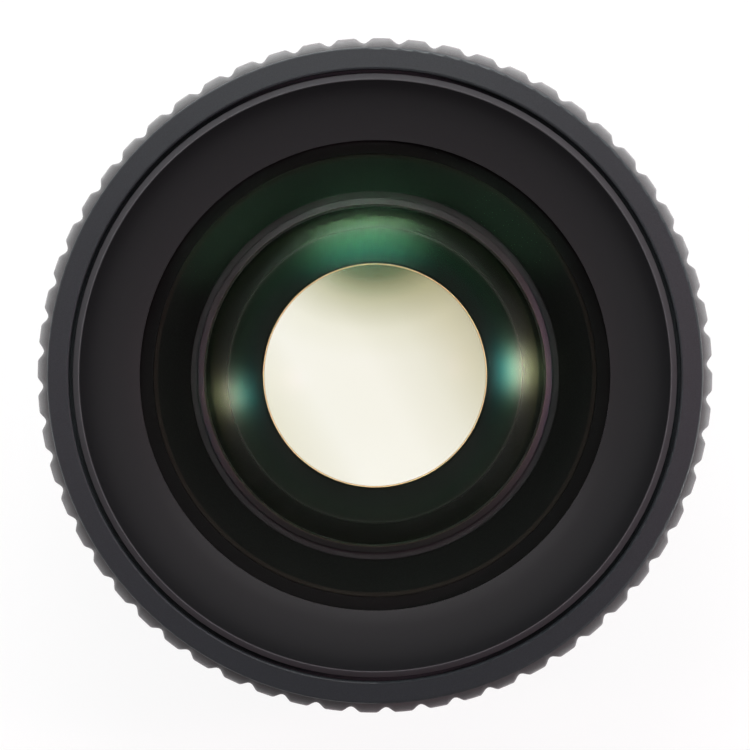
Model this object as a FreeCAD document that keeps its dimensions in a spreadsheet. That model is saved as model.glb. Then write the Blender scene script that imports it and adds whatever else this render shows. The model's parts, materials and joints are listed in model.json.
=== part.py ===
import FreeCAD, Part
import math
import os
import re
import Sketcher

# Interchangeable camera lens, standing on its bayonet mount with the optical axis along +Z.
# All sizes are in millimetres. Heights are measured from the rear end of the bayonet tube.

os.makedirs("parts", exist_ok=True)
doc = FreeCAD.newDocument("CameraLens")
dims = doc.addObject("Spreadsheet::Sheet", "Dims")

BLADES = 7
SCREWS = 4
LUGS = 3
KEYS = 3

# Driving dimensions
DRIVING = {
    # clearances and small edges
    "fit": 0.05,
    "film": 0.02,
    "part_gap": 0.3,
    "slide_gap": 0.4,
    # bayonet mount
    "tube_length": 5.0,
    "flange_thick": 2.2,
    "throat": 21.3,
    "tube_wall": 2.3,
    "lug_reach": 1.7,
    "lug_thick": 1.8,
    "lug_lift": 0.6,
    "lug_sweep": 52.0,
    "screw_radius": 0.85,
    "screw_head": 1.4,
    "screw_inset": 1.55,
    "lock_radius": 1.15,
    "baffle_wall": 1.0,
    # barrels, from the inside out
    "cell_wall": 1.95,
    "guide_wall": 1.3,
    "core_wall": 1.75,
    "ring_wall": 2.75,
    "skirt_wall": 1.25,
    "sleeve_wall": 1.65,
    "grip_thick": 2.24,
    "rim_wall": 2.1,
    # barrels, from the mount up
    "foot_height": 3.5,
    "travel": 5.0,
    "index_height": 2.7,
    "sleeve_lip": 1.8,
    "retainer_height": 1.5,
    "sleeve_band": 3.3,
    "grip_height": 19.2,
    "rim_gap": 0.5,
    "web_thick": 3.0,
    "rim_stand": 0.3,
    "rim_fall": 0.22,
    # guide keys
    "key_width": 2.9,
    "key_height": 5.6,
    # rubber grip
    "rib_count": 60,
    "rib_lead": 1.9,
    "valley_depth": 0.55,
    "valley_round": 1.15,
    "grip_round": 1.3,
    # aperture ring
    "knurl_count": 48,
    "knurl_radius": 0.9,
    "knurl_height": 4.2,
    "knurl_rise": 0.7,
    "bead_radius": 0.9,
    # name ring
    "dish_width": 5.55,
    "dish_depth": 4.25,
    "dish_curve": 14.0,
    "lip_thick": 0.45,
    "crest_chamfer": 0.52,
    "groove_width": 0.38,
    # front glass and its rings
    "glass_edge": 22.5,
    "glass_land": 0.4,
    "front_curve": 60.0,
    "front_rear_curve": 190.0,
    "front_thick": 2.78,
    "flange_step": 1.2,
    "seat_width": 1.65,
    "baffle_depth": 6.4,
    "second_edge": 15.9,
    "second_land": 1.4,
    "second_curve": 58.0,
    "second_thick": 3.6,
    "ring_thick": 1.2,
    "third_inset": 1.5,
    "third_curve": 32.0,
    "third_land": 1.8,
    "third_thick": 3.58,
    # iris
    "stop_radius": 10.96,
    "stop_thick": 0.5,
    "blade_margin": 0.34,
    "blade_width": 5.9,
    "blade_sweep": 106.0,
    "blade_lead": 6.0,
    "blade_thick": 0.2,
    "blade_step": 0.3,
    "blade_clear": 0.5,
    "pivot_circle": 18.6,
    "pivot_radius": 0.5,
    "pin_lead": 9.0,
    "blade_swing": 28.0,
    "ring_swing": 40.0,
    "cam_thick": 1.4,
    "cam_inner": 14.0,
    "floor_thick": 1.9,
    "housing_wall": 1.6,
    "arm_thick": 1.8,
    "arm_sweep": 22.0,
    "drive_radius": 1.0,
    # rear glass
    "rear_radius": 12.4,
    "rear_wall": 2.15,
    "fourth_thick": 3.36,
    "fourth_curve": 34.0,
    "fifth_thick": 2.4,
    "fifth_curve": 30.0,
    "spacer_length": 3.66,
    "spacer_wall": 0.6,
    "last_thick": 2.3,
    "last_curve": 50.0,
    "last_ring": 1.95,
}

# Radii worked out from the driving dimensions
FRONT_RADIUS = "(glass_edge + glass_land)"
FRONT_BORE = f"({FRONT_RADIUS} + fit)"
BAFFLE_OUTER = f"({FRONT_BORE} - seat_width - fit)"
CELL_OUTER = f"({FRONT_BORE} + cell_wall)"
GUIDE_BORE = f"({CELL_OUTER} + slide_gap)"
GUIDE_OUTER = f"({GUIDE_BORE} + guide_wall)"
CORE_BORE = f"({GUIDE_OUTER} + fit)"
CORE_OUTER = f"({CORE_BORE} + core_wall)"
RING_BORE = f"({CORE_OUTER} + fit)"
BAND = f"({RING_BORE} + ring_wall)"
FLANGE = f"({BAND} - 1)"
SCREW_CIRCLE = f"({CORE_BORE} + screw_inset)"
SKIRT_BORE = f"({GUIDE_OUTER} + slide_gap)"
SKIRT_OUTER = f"({SKIRT_BORE} + skirt_wall)"
SLEEVE_BORE = f"({SKIRT_OUTER} + part_gap)"
SLEEVE_OUTER = f"({SLEEVE_BORE} + sleeve_wall)"
GRIP_BORE = f"({SLEEVE_OUTER} + film)"
CREST_OUT = f"({GRIP_BORE} + grip_thick)"
DISH_CREST = "(glass_edge + dish_width)"
NAME_OUTER = f"({DISH_CREST} + 0.15 + crest_chamfer)"
RIM_BORE = f"({NAME_OUTER} + groove_width)"
RIM = f"({RIM_BORE} + rim_wall)"
STEP = f"({NAME_OUTER} - crest_chamfer)"
NAME_SKIRT = f"({STEP} - 1.8)"
SECOND_RADIUS = "(second_edge + second_land)"
NECK = f"({SECOND_RADIUS} + fit + 0.55)"
THIRD_RADIUS = "(second_edge - third_inset)"
CAM_OUTER = "(pivot_circle + 1.7)"
HOUSING_BORE = f"({CAM_OUTER} + 2 * fit)"
HOUSING_OUTER = f"({HOUSING_BORE} + housing_wall)"
BLADE_INNER = "(stop_radius + blade_margin)"
BLADE_OUTER = f"({BLADE_INNER} + blade_width)"
HEEL_OUTER = "(pivot_circle + 0.9)"
ARM_INNER = "(pivot_circle - 1.2)"
ARM_OUTER = f"({ARM_INNER} + arm_thick)"
REAR_BORE = "(rear_radius + fit)"
LAST_RADIUS = "(rear_radius + 1)"
REAR_OUTER = f"({LAST_RADIUS} + fit + rear_wall)"
SPIGOT = f"({REAR_BORE} + 0.5)"

# Heights worked out from the driving dimensions, from the mount up
FLANGE_TOP = "(tube_length + flange_thick)"
FOOT_TOP = f"({FLANGE_TOP} + foot_height)"
RING_BASE = f"({FOOT_TOP} + part_gap)"
PIN_LEVEL = f"({RING_BASE} + drive_radius + part_gap)"
WINDOW_TOP = f"({PIN_LEVEL} + travel + drive_radius + part_gap)"
RING_TOP = f"({WINDOW_TOP} + 1)"
INDEX_BASE = f"({RING_TOP} + part_gap)"
CORE_TOP = f"({INDEX_BASE} + index_height)"
SLEEVE_BASE = f"({CORE_TOP} + part_gap)"
LIP_TOP = f"({SLEEVE_BASE} + sleeve_lip)"
RETAINER_BASE = f"({LIP_TOP} + part_gap)"
RETAINER_TOP = f"({RETAINER_BASE} + retainer_height)"
SKIRT_BASE = f"({RETAINER_TOP} + part_gap)"
KEY_BASE = f"({SKIRT_BASE} + 1.4)"
BAND_TOP = f"({SLEEVE_BASE} + sleeve_band)"
GRIP_BASE = f"({BAND_TOP} + 0.1)"
GRIP_TOP = f"({GRIP_BASE} + grip_height)"
SLEEVE_TOP = f"({GRIP_TOP} + 0.2)"
RIM_BASE = f"({SLEEVE_TOP} + rim_gap)"
SHELF = f"({RIM_BASE} + 0.4)"
WEB_BASE = f"({SHELF} - web_thick)"
GUIDE_TOP = f"({WEB_BASE} - 2 * part_gap)"
NAME_BASE = f"({SHELF} + flange_step)"
FRONT_LAND = f"({NAME_BASE} + 0.6)"
FRONT_SEAT = f"({FRONT_LAND} - front_thick - film)"
DISH_BASE = f"({FRONT_LAND} + 2 * fit + lip_thick)"
CREST = f"({DISH_BASE} + dish_depth)"
NAME_SHELF = f"({CREST} - 1.6)"
TOP = f"({CREST} + rim_stand)"
BAFFLE_BASE = f"({FRONT_SEAT} - baffle_depth)"
SECOND_LAND = f"({BAFFLE_BASE} - ring_thick - 0.2)"
SECOND_SEAT = f"({SECOND_LAND} - second_thick)"
THIRD_REAR = f"({SECOND_SEAT} - film - third_thick)"
STOP_TOP = f"({THIRD_REAR} - 0.7)"
STOP_BASE = f"({STOP_TOP} - stop_thick)"
BLADE_BASE = f"({STOP_BASE} - blade_clear - blade_thick - {BLADES - 1} * blade_step)"
CAM_TOP = f"({BLADE_BASE} - blade_clear)"
CAM_BASE = f"({CAM_TOP} - cam_thick)"
FLOOR_TOP = f"({CAM_BASE} - 2 * fit)"
FLOOR_BASE = f"({FLOOR_TOP} - floor_thick)"
FOURTH_FRONT = f"({FLOOR_BASE} - 0.6)"
FOURTH_REAR = f"({FOURTH_FRONT} - film - fourth_thick)"
FIFTH_FRONT = f"({FOURTH_REAR} - film)"
FIFTH_REAR = f"({FIFTH_FRONT} - fifth_thick)"
SPACER_TOP = f"({FIFTH_REAR} - film)"
SPACER_BASE = f"({SPACER_TOP} - spacer_length)"
LAST_FRONT = f"({SPACER_BASE} - film)"
LAST_REAR = f"({LAST_FRONT} - last_thick)"
LAST_RING_TOP = f"({LAST_REAR} - fit)"
LAST_RING_BASE = f"({LAST_RING_TOP} - last_ring)"
CELL_BASE = f"({LAST_RING_BASE} - 0.2)"

for row, (alias, size) in enumerate(DRIVING.items(), start=1):
    dims.set(f"A{row}", alias.replace("_", " "))
    dims.set(f"B{row}", str(size))
    dims.setAlias(f"B{row}", alias)
doc.recompute()

NAMES = re.compile(r"\b(" + "|".join(DRIVING) + r")\b")
sub_parts = {}


def value(formula):
    """Number that a formula of sheet names works out to."""
    return float(dims.evalExpression(str(formula)))


def bind(target, prop, formula):
    """Tie a property to the sheet."""
    target.setExpression(prop, NAMES.sub(r"Dims.\1", str(formula)))


def sag(radius, edge):
    """Depth of a spherical surface over its edge radius, as a formula."""
    return f"({radius} - sqrt({radius} * {radius} - ({edge}) * ({edge})))"


def keep(name, piece):
    """Name a finished sub-part."""
    piece.Label = name
    sub_parts[name] = piece
    return piece


def plane(body, role):
    """One of a body's own origin planes."""
    return next(item for item in body.Origin.OriginFeatures if item.Role == role)


def round_edge(start, end, curve):
    """Arc from one corner to the next, always drawn anticlockwise."""
    along = end - start
    side = FreeCAD.Vector(-along.y, along.x, 0).normalize()
    half = along.Length / 2
    reach = math.sqrt(curve * curve - half * half)
    centre = (start + end) / 2 + side * math.copysign(reach, curve)
    if curve < 0:
        start, end = end, start
    first = math.atan2(start.y - centre.y, start.x - centre.x)
    last = math.atan2(end.y - centre.y, end.x - centre.x)
    circle = Part.Circle(centre, FreeCAD.Vector(0, 0, 1), abs(curve))
    return Part.ArcOfCircle(circle, first, last)


def half_section(sketch, outline):
    """Closed outline in a sketch, drawn anticlockwise. Each entry is (radius, height) and, where
    the edge that leaves it is round, the arc's radius too: above zero bulges outwards, below zero
    hollows inwards."""
    count = len(outline)
    corners = [FreeCAD.Vector(value(entry[0]), value(entry[1]), 0) for entry in outline]
    hollow = [len(entry) == 3 and value(entry[2]) < 0 for entry in outline]
    for number, entry in enumerate(outline):
        start = corners[number]
        end = corners[(number + 1) % count]
        if len(entry) == 3:
            sketch.addGeometry(round_edge(start, end, value(entry[2])), False)
        else:
            sketch.addGeometry(Part.LineSegment(start, end), False)
    for number, entry in enumerate(outline):
        following = (number + 1) % count
        leaving = 1 if hollow[number] else 2
        entering = 2 if hollow[following] else 1
        sketch.addConstraint(Sketcher.Constraint("Coincident", number, leaving, following, entering))
        first_end = 2 if hollow[number] else 1
        for axis_name, own_axis, formula in (("DistanceX", -2, entry[0]), ("DistanceY", -1, entry[1])):
            if value(formula) == 0:
                sketch.addConstraint(Sketcher.Constraint("PointOnObject", number, first_end, own_axis))
                continue
            rule = Sketcher.Constraint(axis_name, number, first_end, value(formula))
            bind(sketch, f"Constraints[{sketch.addConstraint(rule)}]", formula)
        if len(entry) == 3:
            rule = Sketcher.Constraint("Radius", number, abs(value(entry[2])))
            bind(sketch, f"Constraints[{sketch.addConstraint(rule)}]", f"abs({entry[2]})")


def turned(name, outline):
    """Body turned about the optical axis from its half section."""
    body = doc.addObject("PartDesign::Body", name)
    sketch = body.newObject("Sketcher::SketchObject", f"{name}_section")
    sketch.AttachmentSupport = (plane(body, "XZ_Plane"), [""])
    sketch.MapMode = "FlatFace"
    half_section(sketch, outline)
    turn = body.newObject("PartDesign::Revolution", f"{name}_turn")
    turn.Profile = sketch
    turn.ReferenceAxis = (sketch, ["V_Axis"])
    turn.Angle = 360
    return body


def cylinder(radius, height, bottom, sweep="360", start=0.0, circle="0", angle=0.0):
    """Upright cylinder or sector, its axis at a radius and an angle from the optical axis."""
    solid = doc.addObject("Part::Cylinder", "Cylinder")
    bind(solid, "Radius", radius)
    bind(solid, "Height", height)
    bind(solid, "Angle", sweep)
    turn = FreeCAD.Rotation(FreeCAD.Vector(0, 0, 1), start)
    out = FreeCAD.Rotation(FreeCAD.Vector(0, 0, 1), angle).multVec(FreeCAD.Vector(value(circle), 0, 0))
    solid.Placement = FreeCAD.Placement(out, turn)
    bind(solid, ".Placement.Base.z", bottom)
    return solid


def radial_cylinder(radius, length, inner, height, angle):
    """Cylinder lying along a radius of the lens, from an inner radius outwards."""
    solid = doc.addObject("Part::Cylinder", "Cross")
    bind(solid, "Radius", radius)
    bind(solid, "Height", length)
    lie = FreeCAD.Rotation(FreeCAD.Vector(0, 1, 0), 90)
    turn = FreeCAD.Rotation(FreeCAD.Vector(0, 0, 1), angle)
    start = FreeCAD.Vector(value(inner), 0, value(height))
    solid.Placement = FreeCAD.Placement(turn.multVec(start), turn * lie)
    return solid


def radial_block(length, width, height, inner, bottom, angle):
    """Block lying along a radius of the lens, centred on that radius."""
    solid = doc.addObject("Part::Box", "Block")
    bind(solid, "Length", length)
    bind(solid, "Width", width)
    bind(solid, "Height", height)
    turn = FreeCAD.Rotation(FreeCAD.Vector(0, 0, 1), angle)
    corner = FreeCAD.Vector(value(inner), -value(width) / 2, value(bottom))
    solid.Placement = FreeCAD.Placement(turn.multVec(corner), turn)
    return solid


def cut(base, tools):
    """Base less one tool or several."""
    result = doc.addObject("Part::Cut", "Cut")
    result.Base = base
    result.Tool = tools[0] if len(tools) == 1 else fuse(tools)
    result.Refine = True
    return result


def fuse(pieces):
    """Several solids as one object."""
    result = doc.addObject("Part::MultiFuse", "Fuse")
    result.Shapes = pieces
    result.Refine = True
    return result


def ring_sector(outer, inner, height, bottom, sweep, start):
    """Sector of a flat ring."""
    wide = cylinder(outer, height, bottom, sweep, start)
    bore = cylinder(inner, height, bottom)
    return cut(wide, [bore])


def around(count, first=0.0):
    """Equal angles round the axis, in degrees."""
    return [first + 360.0 * step / count for step in range(count)]


# Fixed body

def screw_head(clearance, angle):
    """Cone of a countersunk screw head in the mount's face."""
    head = doc.addObject("Part::Cone", "ScrewHead")
    bind(head, "Radius1", f"screw_head + {clearance}")
    bind(head, "Radius2", f"screw_radius + {clearance}")
    bind(head, "Height", "screw_head - screw_radius + 0.35")
    turn = FreeCAD.Rotation(FreeCAD.Vector(0, 0, 1), angle)
    head.Placement = FreeCAD.Placement(turn.multVec(FreeCAD.Vector(value(SCREW_CIRCLE), 0, 0)), turn)
    bind(head, ".Placement.Base.z", "tube_length")
    return head


def make_mount_ring():
    ring = turned("mount_turned", [
        ("throat", "0.3"),
        ("throat + 0.3", "0"),
        ("throat + tube_wall - 0.3", "0"),
        ("throat + tube_wall", "0.3"),
        ("throat + tube_wall", "tube_length"),
        (f"{FLANGE} - 0.3", "tube_length"),
        (FLANGE, "tube_length + 0.3"),
        (FLANGE, FLANGE_TOP),
        ("throat", FLANGE_TOP),
    ])
    lugs = [ring_sector("throat + tube_wall + lug_reach", "throat + tube_wall - 1", "lug_thick",
                        "lug_lift", "lug_sweep", at) for at in around(LUGS, 14)]
    holes = []
    for at in around(SCREWS, 45):
        holes.append(cylinder("screw_radius + fit", "flange_thick + 2", "tube_length - 1",
                              circle=SCREW_CIRCLE, angle=at))
        holes.append(screw_head("fit", at))
    holes.append(cylinder("lock_radius", "flange_thick + 2", "tube_length - 1", circle=SCREW_CIRCLE, angle=8))
    keep("mount_ring", cut(fuse([ring] + lugs), holes))


def make_mount_screws():
    screws = []
    for at in around(SCREWS, 45):
        shank = cylinder("screw_radius", "flange_thick + foot_height - 0.7", "tube_length + 0.2",
                         circle=SCREW_CIRCLE, angle=at)
        screws.append(fuse([shank, screw_head("0", at)]))
    keep("mount_screws", fuse(screws))


def make_rear_barrel():
    barrel = turned("rear_barrel_turned", [
        (CORE_BORE, FLANGE_TOP),
        (f"{BAND} - 0.8", FLANGE_TOP),
        (f"{BAND} - 0.2", f"{FLANGE_TOP} + 0.6"),
        (f"{BAND} - 0.2", f"{FOOT_TOP} - 0.3"),
        (f"{BAND} - 0.5", FOOT_TOP),
        (CORE_OUTER, FOOT_TOP),
        (CORE_OUTER, CORE_TOP),
        (CORE_BORE, CORE_TOP),
    ])
    holes = [cylinder("screw_radius + fit", "foot_height + 0.8", f"{FLANGE_TOP} - 1",
                      circle=SCREW_CIRCLE, angle=at) for at in around(SCREWS, 45)]
    bead_level = f"{FLANGE_TOP} + foot_height / 2"
    bead_seat = radial_cylinder("bead_radius + fit", "2", f"{BAND} - 1.2", bead_level, 90)
    keep("rear_barrel", cut(barrel, [drive_window(CORE_OUTER, CORE_BORE), bead_seat] + holes))
    bead = radial_cylinder("bead_radius", "1.15", f"{BAND} - 1.2", bead_level, 90)
    keep("alignment_bead", fuse([bead, bead_dome(bead_level)]))


def drive_window(outer, inner):
    """Window in a fixed tube, through which the iris's drive pin reaches the aperture ring."""
    return ring_sector(f"{outer} + 1", f"{inner} - 1", f"{WINDOW_TOP} - {RING_BASE}", RING_BASE,
                       "ring_swing + 10", -5)


def bead_dome(level):
    """Low dome on the bead, standing just proud of the barrel."""
    dome = doc.addObject("Part::Sphere", "BeadDome")
    bind(dome, "Radius", "bead_radius + 0.5")
    dome.Placement.Base = FreeCAD.Vector(0, value(f"{BAND} - bead_radius - 0.35"), value(level))
    shaft = radial_cylinder("bead_radius", "1.5", f"{BAND} - 1.2", level, 90)
    common = doc.addObject("Part::MultiCommon", "BeadTop")
    common.Shapes = [dome, shaft]
    return common


def make_guide_tube():
    tube = turned("guide_tube_turned", [
        (GUIDE_BORE, FLANGE_TOP),
        (GUIDE_OUTER, FLANGE_TOP),
        (GUIDE_OUTER, GUIDE_TOP),
        (GUIDE_BORE, GUIDE_TOP),
    ])
    slots = [radial_block("guide_wall + 2.7", "key_width + 0.2", "key_height + travel + 1.6",
                          f"{GUIDE_BORE} - 1", f"{KEY_BASE} - 0.6", at) for at in around(KEYS, 30)]
    keep("guide_tube", cut(tube, [drive_window(GUIDE_OUTER, GUIDE_BORE)] + slots))


def make_rear_baffle():
    keep("rear_baffle", turned("baffle_turned", [
        ("throat - fit", "0.8"),
        ("throat - fit", FLANGE_TOP),
        ("throat + 2", FLANGE_TOP),
        ("throat + 2", f"{FLANGE_TOP} + baffle_wall"),
        (f"{REAR_OUTER} + slide_gap", f"{FLANGE_TOP} + baffle_wall"),
        (f"{REAR_OUTER} + slide_gap", f"{FLANGE_TOP} - 0.8"),
        ("throat - 0.9", "0.8"),
    ]))


def make_index_ring():
    keep("index_ring", turned("index_turned", [
        (RING_BORE, INDEX_BASE),
        (f"{BAND} - 0.2", INDEX_BASE),
        (BAND, f"{INDEX_BASE} + 0.2"),
        (BAND, f"{CORE_TOP} - 0.2"),
        (f"{BAND} - 0.2", CORE_TOP),
        (RING_BORE, CORE_TOP),
    ]))


def make_sleeve_retainer():
    keep("sleeve_retainer", turned("sleeve_retainer_turned", [
        (CORE_BORE, RETAINER_BASE),
        (f"{SLEEVE_BORE} - part_gap", RETAINER_BASE),
        (f"{SLEEVE_BORE} - part_gap", RETAINER_TOP),
        (CORE_BORE, RETAINER_TOP),
    ]))


# Focusing ring

def make_focus_sleeve():
    keep("focus_sleeve", turned("focus_sleeve_turned", [
        (SKIRT_BORE, SLEEVE_BASE),
        (BAND, SLEEVE_BASE),
        (f"{BAND} + 0.3", f"{SLEEVE_BASE} + 0.3"),
        (f"{BAND} + 0.3", BAND_TOP),
        (SLEEVE_OUTER, BAND_TOP),
        (SLEEVE_OUTER, SLEEVE_TOP),
        (SLEEVE_BORE, SLEEVE_TOP),
        (SLEEVE_BORE, LIP_TOP),
        (SKIRT_BORE, LIP_TOP),
    ]))


def make_rubber_grip():
    """Rubber sleeve turned with a rounded front edge, then fluted all round: the lands between
    the round flutes are the ribs."""
    name = "rubber_grip"
    body = turned(name, [
        (GRIP_BORE, GRIP_BASE),
        (f"{CREST_OUT} - 0.3", GRIP_BASE),
        (CREST_OUT, f"{GRIP_BASE} + 0.3"),
        (CREST_OUT, f"{GRIP_TOP} - grip_round", "grip_round"),
        (f"{CREST_OUT} - grip_round", GRIP_TOP),
        (GRIP_BORE, GRIP_TOP),
    ])
    doc.recompute()
    flute = body.newObject("Sketcher::SketchObject", "flute_section")
    flute.AttachmentSupport = (plane(body, "XY_Plane"), [""])
    flute.MapMode = "FlatFace"
    lead = FreeCAD.Rotation(FreeCAD.Vector(0, 0, 1), value("rib_lead"))
    flute.AttachmentOffset = FreeCAD.Placement(FreeCAD.Vector(), lead)
    centre = f"{CREST_OUT} - valley_depth + valley_round"
    flute.addGeometry(Part.Circle(FreeCAD.Vector(value(centre), 0, 0), FreeCAD.Vector(0, 0, 1),
                                  value("valley_round")), False)
    flute.addConstraint(Sketcher.Constraint("PointOnObject", 0, 3, -1))
    index = flute.addConstraint(Sketcher.Constraint("DistanceX", 0, 3, value(centre)))
    bind(flute, f"Constraints[{index}]", centre)
    index = flute.addConstraint(Sketcher.Constraint("Radius", 0, value("valley_round")))
    bind(flute, f"Constraints[{index}]", "valley_round")
    pocket = body.newObject("PartDesign::Pocket", "flute")
    pocket.Profile = flute
    pocket.Type = "ThroughAll"
    pocket.Reversed = True
    doc.recompute()
    ribs = body.newObject("PartDesign::PolarPattern", "ribs")
    ribs.Originals = [pocket]
    ribs.Axis = (flute, ["N_Axis"])
    ribs.Angle = 360
    bind(ribs, "Occurrences", "rib_count")
    body.Tip = ribs
    keep(name, body)


# Aperture ring

def make_aperture_ring():
    ring = turned("aperture_turned", [
        (RING_BORE, RING_BASE),
        (f"{BAND} + knurl_rise - 0.3", RING_BASE),
        (f"{BAND} + knurl_rise", f"{RING_BASE} + 0.3"),
        (f"{BAND} + knurl_rise", f"{RING_BASE} + knurl_height"),
        (BAND, f"{RING_BASE} + knurl_height + knurl_rise"),
        (BAND, f"{RING_TOP} - 0.2"),
        (f"{BAND} - 0.2", RING_TOP),
        (RING_BORE, RING_TOP),
    ])
    flutes = [cylinder("knurl_radius", "knurl_height + knurl_rise + 0.7", f"{RING_BASE} - 0.2",
                       circle=f"{BAND} + knurl_rise + knurl_radius - 0.3", angle=at)
              for at in around(round(value("knurl_count")))]
    groove = radial_block("fit + 2.35", "2 * drive_radius + 2 * fit", f"{WINDOW_TOP} - {RING_BASE}",
                          f"{CORE_OUTER} - 1", RING_BASE, 0)
    keep("aperture_ring", cut(ring, flutes + [groove]))


# Optical block, which slides along the guide tube

def make_front_barrel():
    keep("front_barrel", turned("front_barrel_turned", [
        (SKIRT_BORE, SKIRT_BASE),
        (SKIRT_OUTER, SKIRT_BASE),
        (SKIRT_OUTER, RIM_BASE),
        (f"{RIM} - 0.25", RIM_BASE),
        (RIM, f"{RIM_BASE} + 0.25"),
        (RIM, f"{TOP} - rim_fall - 0.25", "0.25"),
        (f"{RIM} - 0.25", f"{TOP} - rim_fall"),
        (f"{RIM_BORE} + 0.2", TOP, "0.2"),
        (RIM_BORE, f"{TOP} - 0.2"),
        (RIM_BORE, NAME_SHELF),
        (f"{STEP} + 2 * fit", NAME_SHELF),
        (f"{STEP} + 2 * fit", SHELF),
        (f"{CELL_OUTER} + fit", SHELF),
        (f"{CELL_OUTER} + fit", WEB_BASE),
        (SKIRT_BORE, WEB_BASE),
    ]))


def make_name_ring():
    """Dished ring round the front glass, with an outward chamfer beyond its crest."""
    keep("name_ring", turned("name_ring_turned", [
        (STEP, NAME_BASE),
        (STEP, NAME_SHELF),
        (NAME_OUTER, NAME_SHELF),
        (NAME_OUTER, f"{CREST} - 0.6"),
        (STEP, CREST),
        (DISH_CREST, CREST, "-dish_curve"),
        ("glass_edge", DISH_BASE),
        ("glass_edge", f"{FRONT_LAND} + 2 * fit"),
        (NAME_SKIRT, f"{FRONT_LAND} + 2 * fit"),
        (NAME_SKIRT, NAME_BASE),
    ]))


def make_front_cell():
    keep("front_cell", turned("front_cell_turned", [
        (f"{THIRD_RADIUS} + fit", STOP_TOP),
        (HOUSING_OUTER, STOP_TOP),
        (HOUSING_OUTER, f"{BAFFLE_BASE} - 0.8"),
        (CELL_OUTER, f"{BAFFLE_BASE} - 0.8"),
        (CELL_OUTER, SHELF),
        (STEP, SHELF),
        (STEP, NAME_BASE),
        (f"{CELL_OUTER} - 0.5", NAME_BASE),
        (f"{CELL_OUTER} - 0.5", f"{FRONT_LAND} + fit"),
        (FRONT_BORE, f"{FRONT_LAND} + fit"),
        (FRONT_BORE, FRONT_SEAT),
        (f"{BAFFLE_OUTER} + fit", FRONT_SEAT),
        (f"{BAFFLE_OUTER} + fit", BAFFLE_BASE),
        (NECK, BAFFLE_BASE),
        (NECK, f"{SECOND_LAND} - fit"),
        (f"{SECOND_RADIUS} + fit", f"{SECOND_LAND} - fit"),
        (f"{SECOND_RADIUS} + fit", SECOND_SEAT),
        (f"{THIRD_RADIUS} + fit", SECOND_SEAT),
    ]))


def make_front_element():
    rear = f"{FRONT_SEAT} + film"
    rear_edge = f"({FRONT_RADIUS} - 1.5)"
    keep("front_element", turned("front_element_turned", [
        ("0", f"{rear} + {sag('front_rear_curve', rear_edge)}", "-front_rear_curve"),
        (rear_edge, rear),
        (FRONT_RADIUS, rear),
        (FRONT_RADIUS, FRONT_LAND),
        ("glass_edge", FRONT_LAND, "front_curve"),
        ("0", f"{FRONT_LAND} + {sag('front_curve', 'glass_edge')}"),
    ]))


def make_front_baffle():
    keep("front_baffle", turned("front_baffle_turned", [
        (NECK, BAFFLE_BASE),
        (BAFFLE_OUTER, BAFFLE_BASE),
        (BAFFLE_OUTER, f"{FRONT_SEAT} - 0.1"),
        (f"{BAFFLE_OUTER} - 0.35", f"{FRONT_SEAT} - 0.65"),
    ]))


def make_second_retainer():
    ring_top = f"({SECOND_LAND} + ring_thick)"
    keep("second_retainer", turned("second_retainer_turned", [
        ("second_edge + fit", SECOND_LAND),
        (f"{NECK} - fit", SECOND_LAND),
        (f"{NECK} - fit", f"{ring_top} - 0.5"),
        (f"{NECK} - 0.35", f"{ring_top} - 0.5"),
        (f"{NECK} - 0.35", ring_top),
        ("second_edge + 0.85", ring_top),
        ("second_edge + 0.65", f"{ring_top} - 0.15"),
    ]))


def make_second_element():
    keep("second_element", turned("second_element_turned", [
        ("0", SECOND_SEAT),
        (SECOND_RADIUS, SECOND_SEAT),
        (SECOND_RADIUS, SECOND_LAND),
        ("second_edge", SECOND_LAND, "second_curve"),
        ("0", f"{SECOND_LAND} + {sag('second_curve', 'second_edge')}"),
    ]))


def make_third_element():
    rear_edge = f"({THIRD_RADIUS} - third_land)"
    keep("third_element", turned("third_element_turned", [
        ("0", f"{THIRD_REAR} + {sag('third_curve', rear_edge)}", "-third_curve"),
        (rear_edge, THIRD_REAR),
        (THIRD_RADIUS, THIRD_REAR),
        (THIRD_RADIUS, f"{SECOND_SEAT} - film"),
        ("0", f"{SECOND_SEAT} - film"),
    ]))


def make_stop_plate():
    keep("stop_plate", turned("stop_plate_turned", [
        ("stop_radius", STOP_BASE),
        (HOUSING_OUTER, STOP_BASE),
        (HOUSING_OUTER, STOP_TOP),
        ("stop_radius + stop_thick / 2", STOP_TOP),
        ("stop_radius", f"{STOP_BASE} + 0.4 * stop_thick"),
    ]))


def make_blade_pivots():
    pins = [cylinder("pivot_radius", f"{STOP_BASE} - {BLADE_BASE} + 0.2", f"{BLADE_BASE} - 0.2",
                     circle="pivot_circle", angle=at) for at in around(BLADES)]
    keep("blade_pivots", fuse(pins))


def make_iris_housing():
    housing = turned("iris_housing_turned", [
        (f"{SPIGOT} + fit", FLOOR_BASE),
        (HOUSING_OUTER, FLOOR_BASE),
        (HOUSING_OUTER, STOP_BASE),
        (HOUSING_BORE, STOP_BASE),
        (HOUSING_BORE, FLOOR_TOP),
        (f"{SPIGOT} + fit", FLOOR_TOP),
    ])
    arm_slot = ring_sector(f"{ARM_OUTER} + part_gap", f"{ARM_INNER} - part_gap", "floor_thick + 1",
                           f"{FLOOR_BASE} - 0.5", "ring_swing + arm_sweep + 4",
                           -value("arm_sweep / 2 + 2"))
    keep("iris_housing", cut(housing, [arm_slot]))


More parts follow.
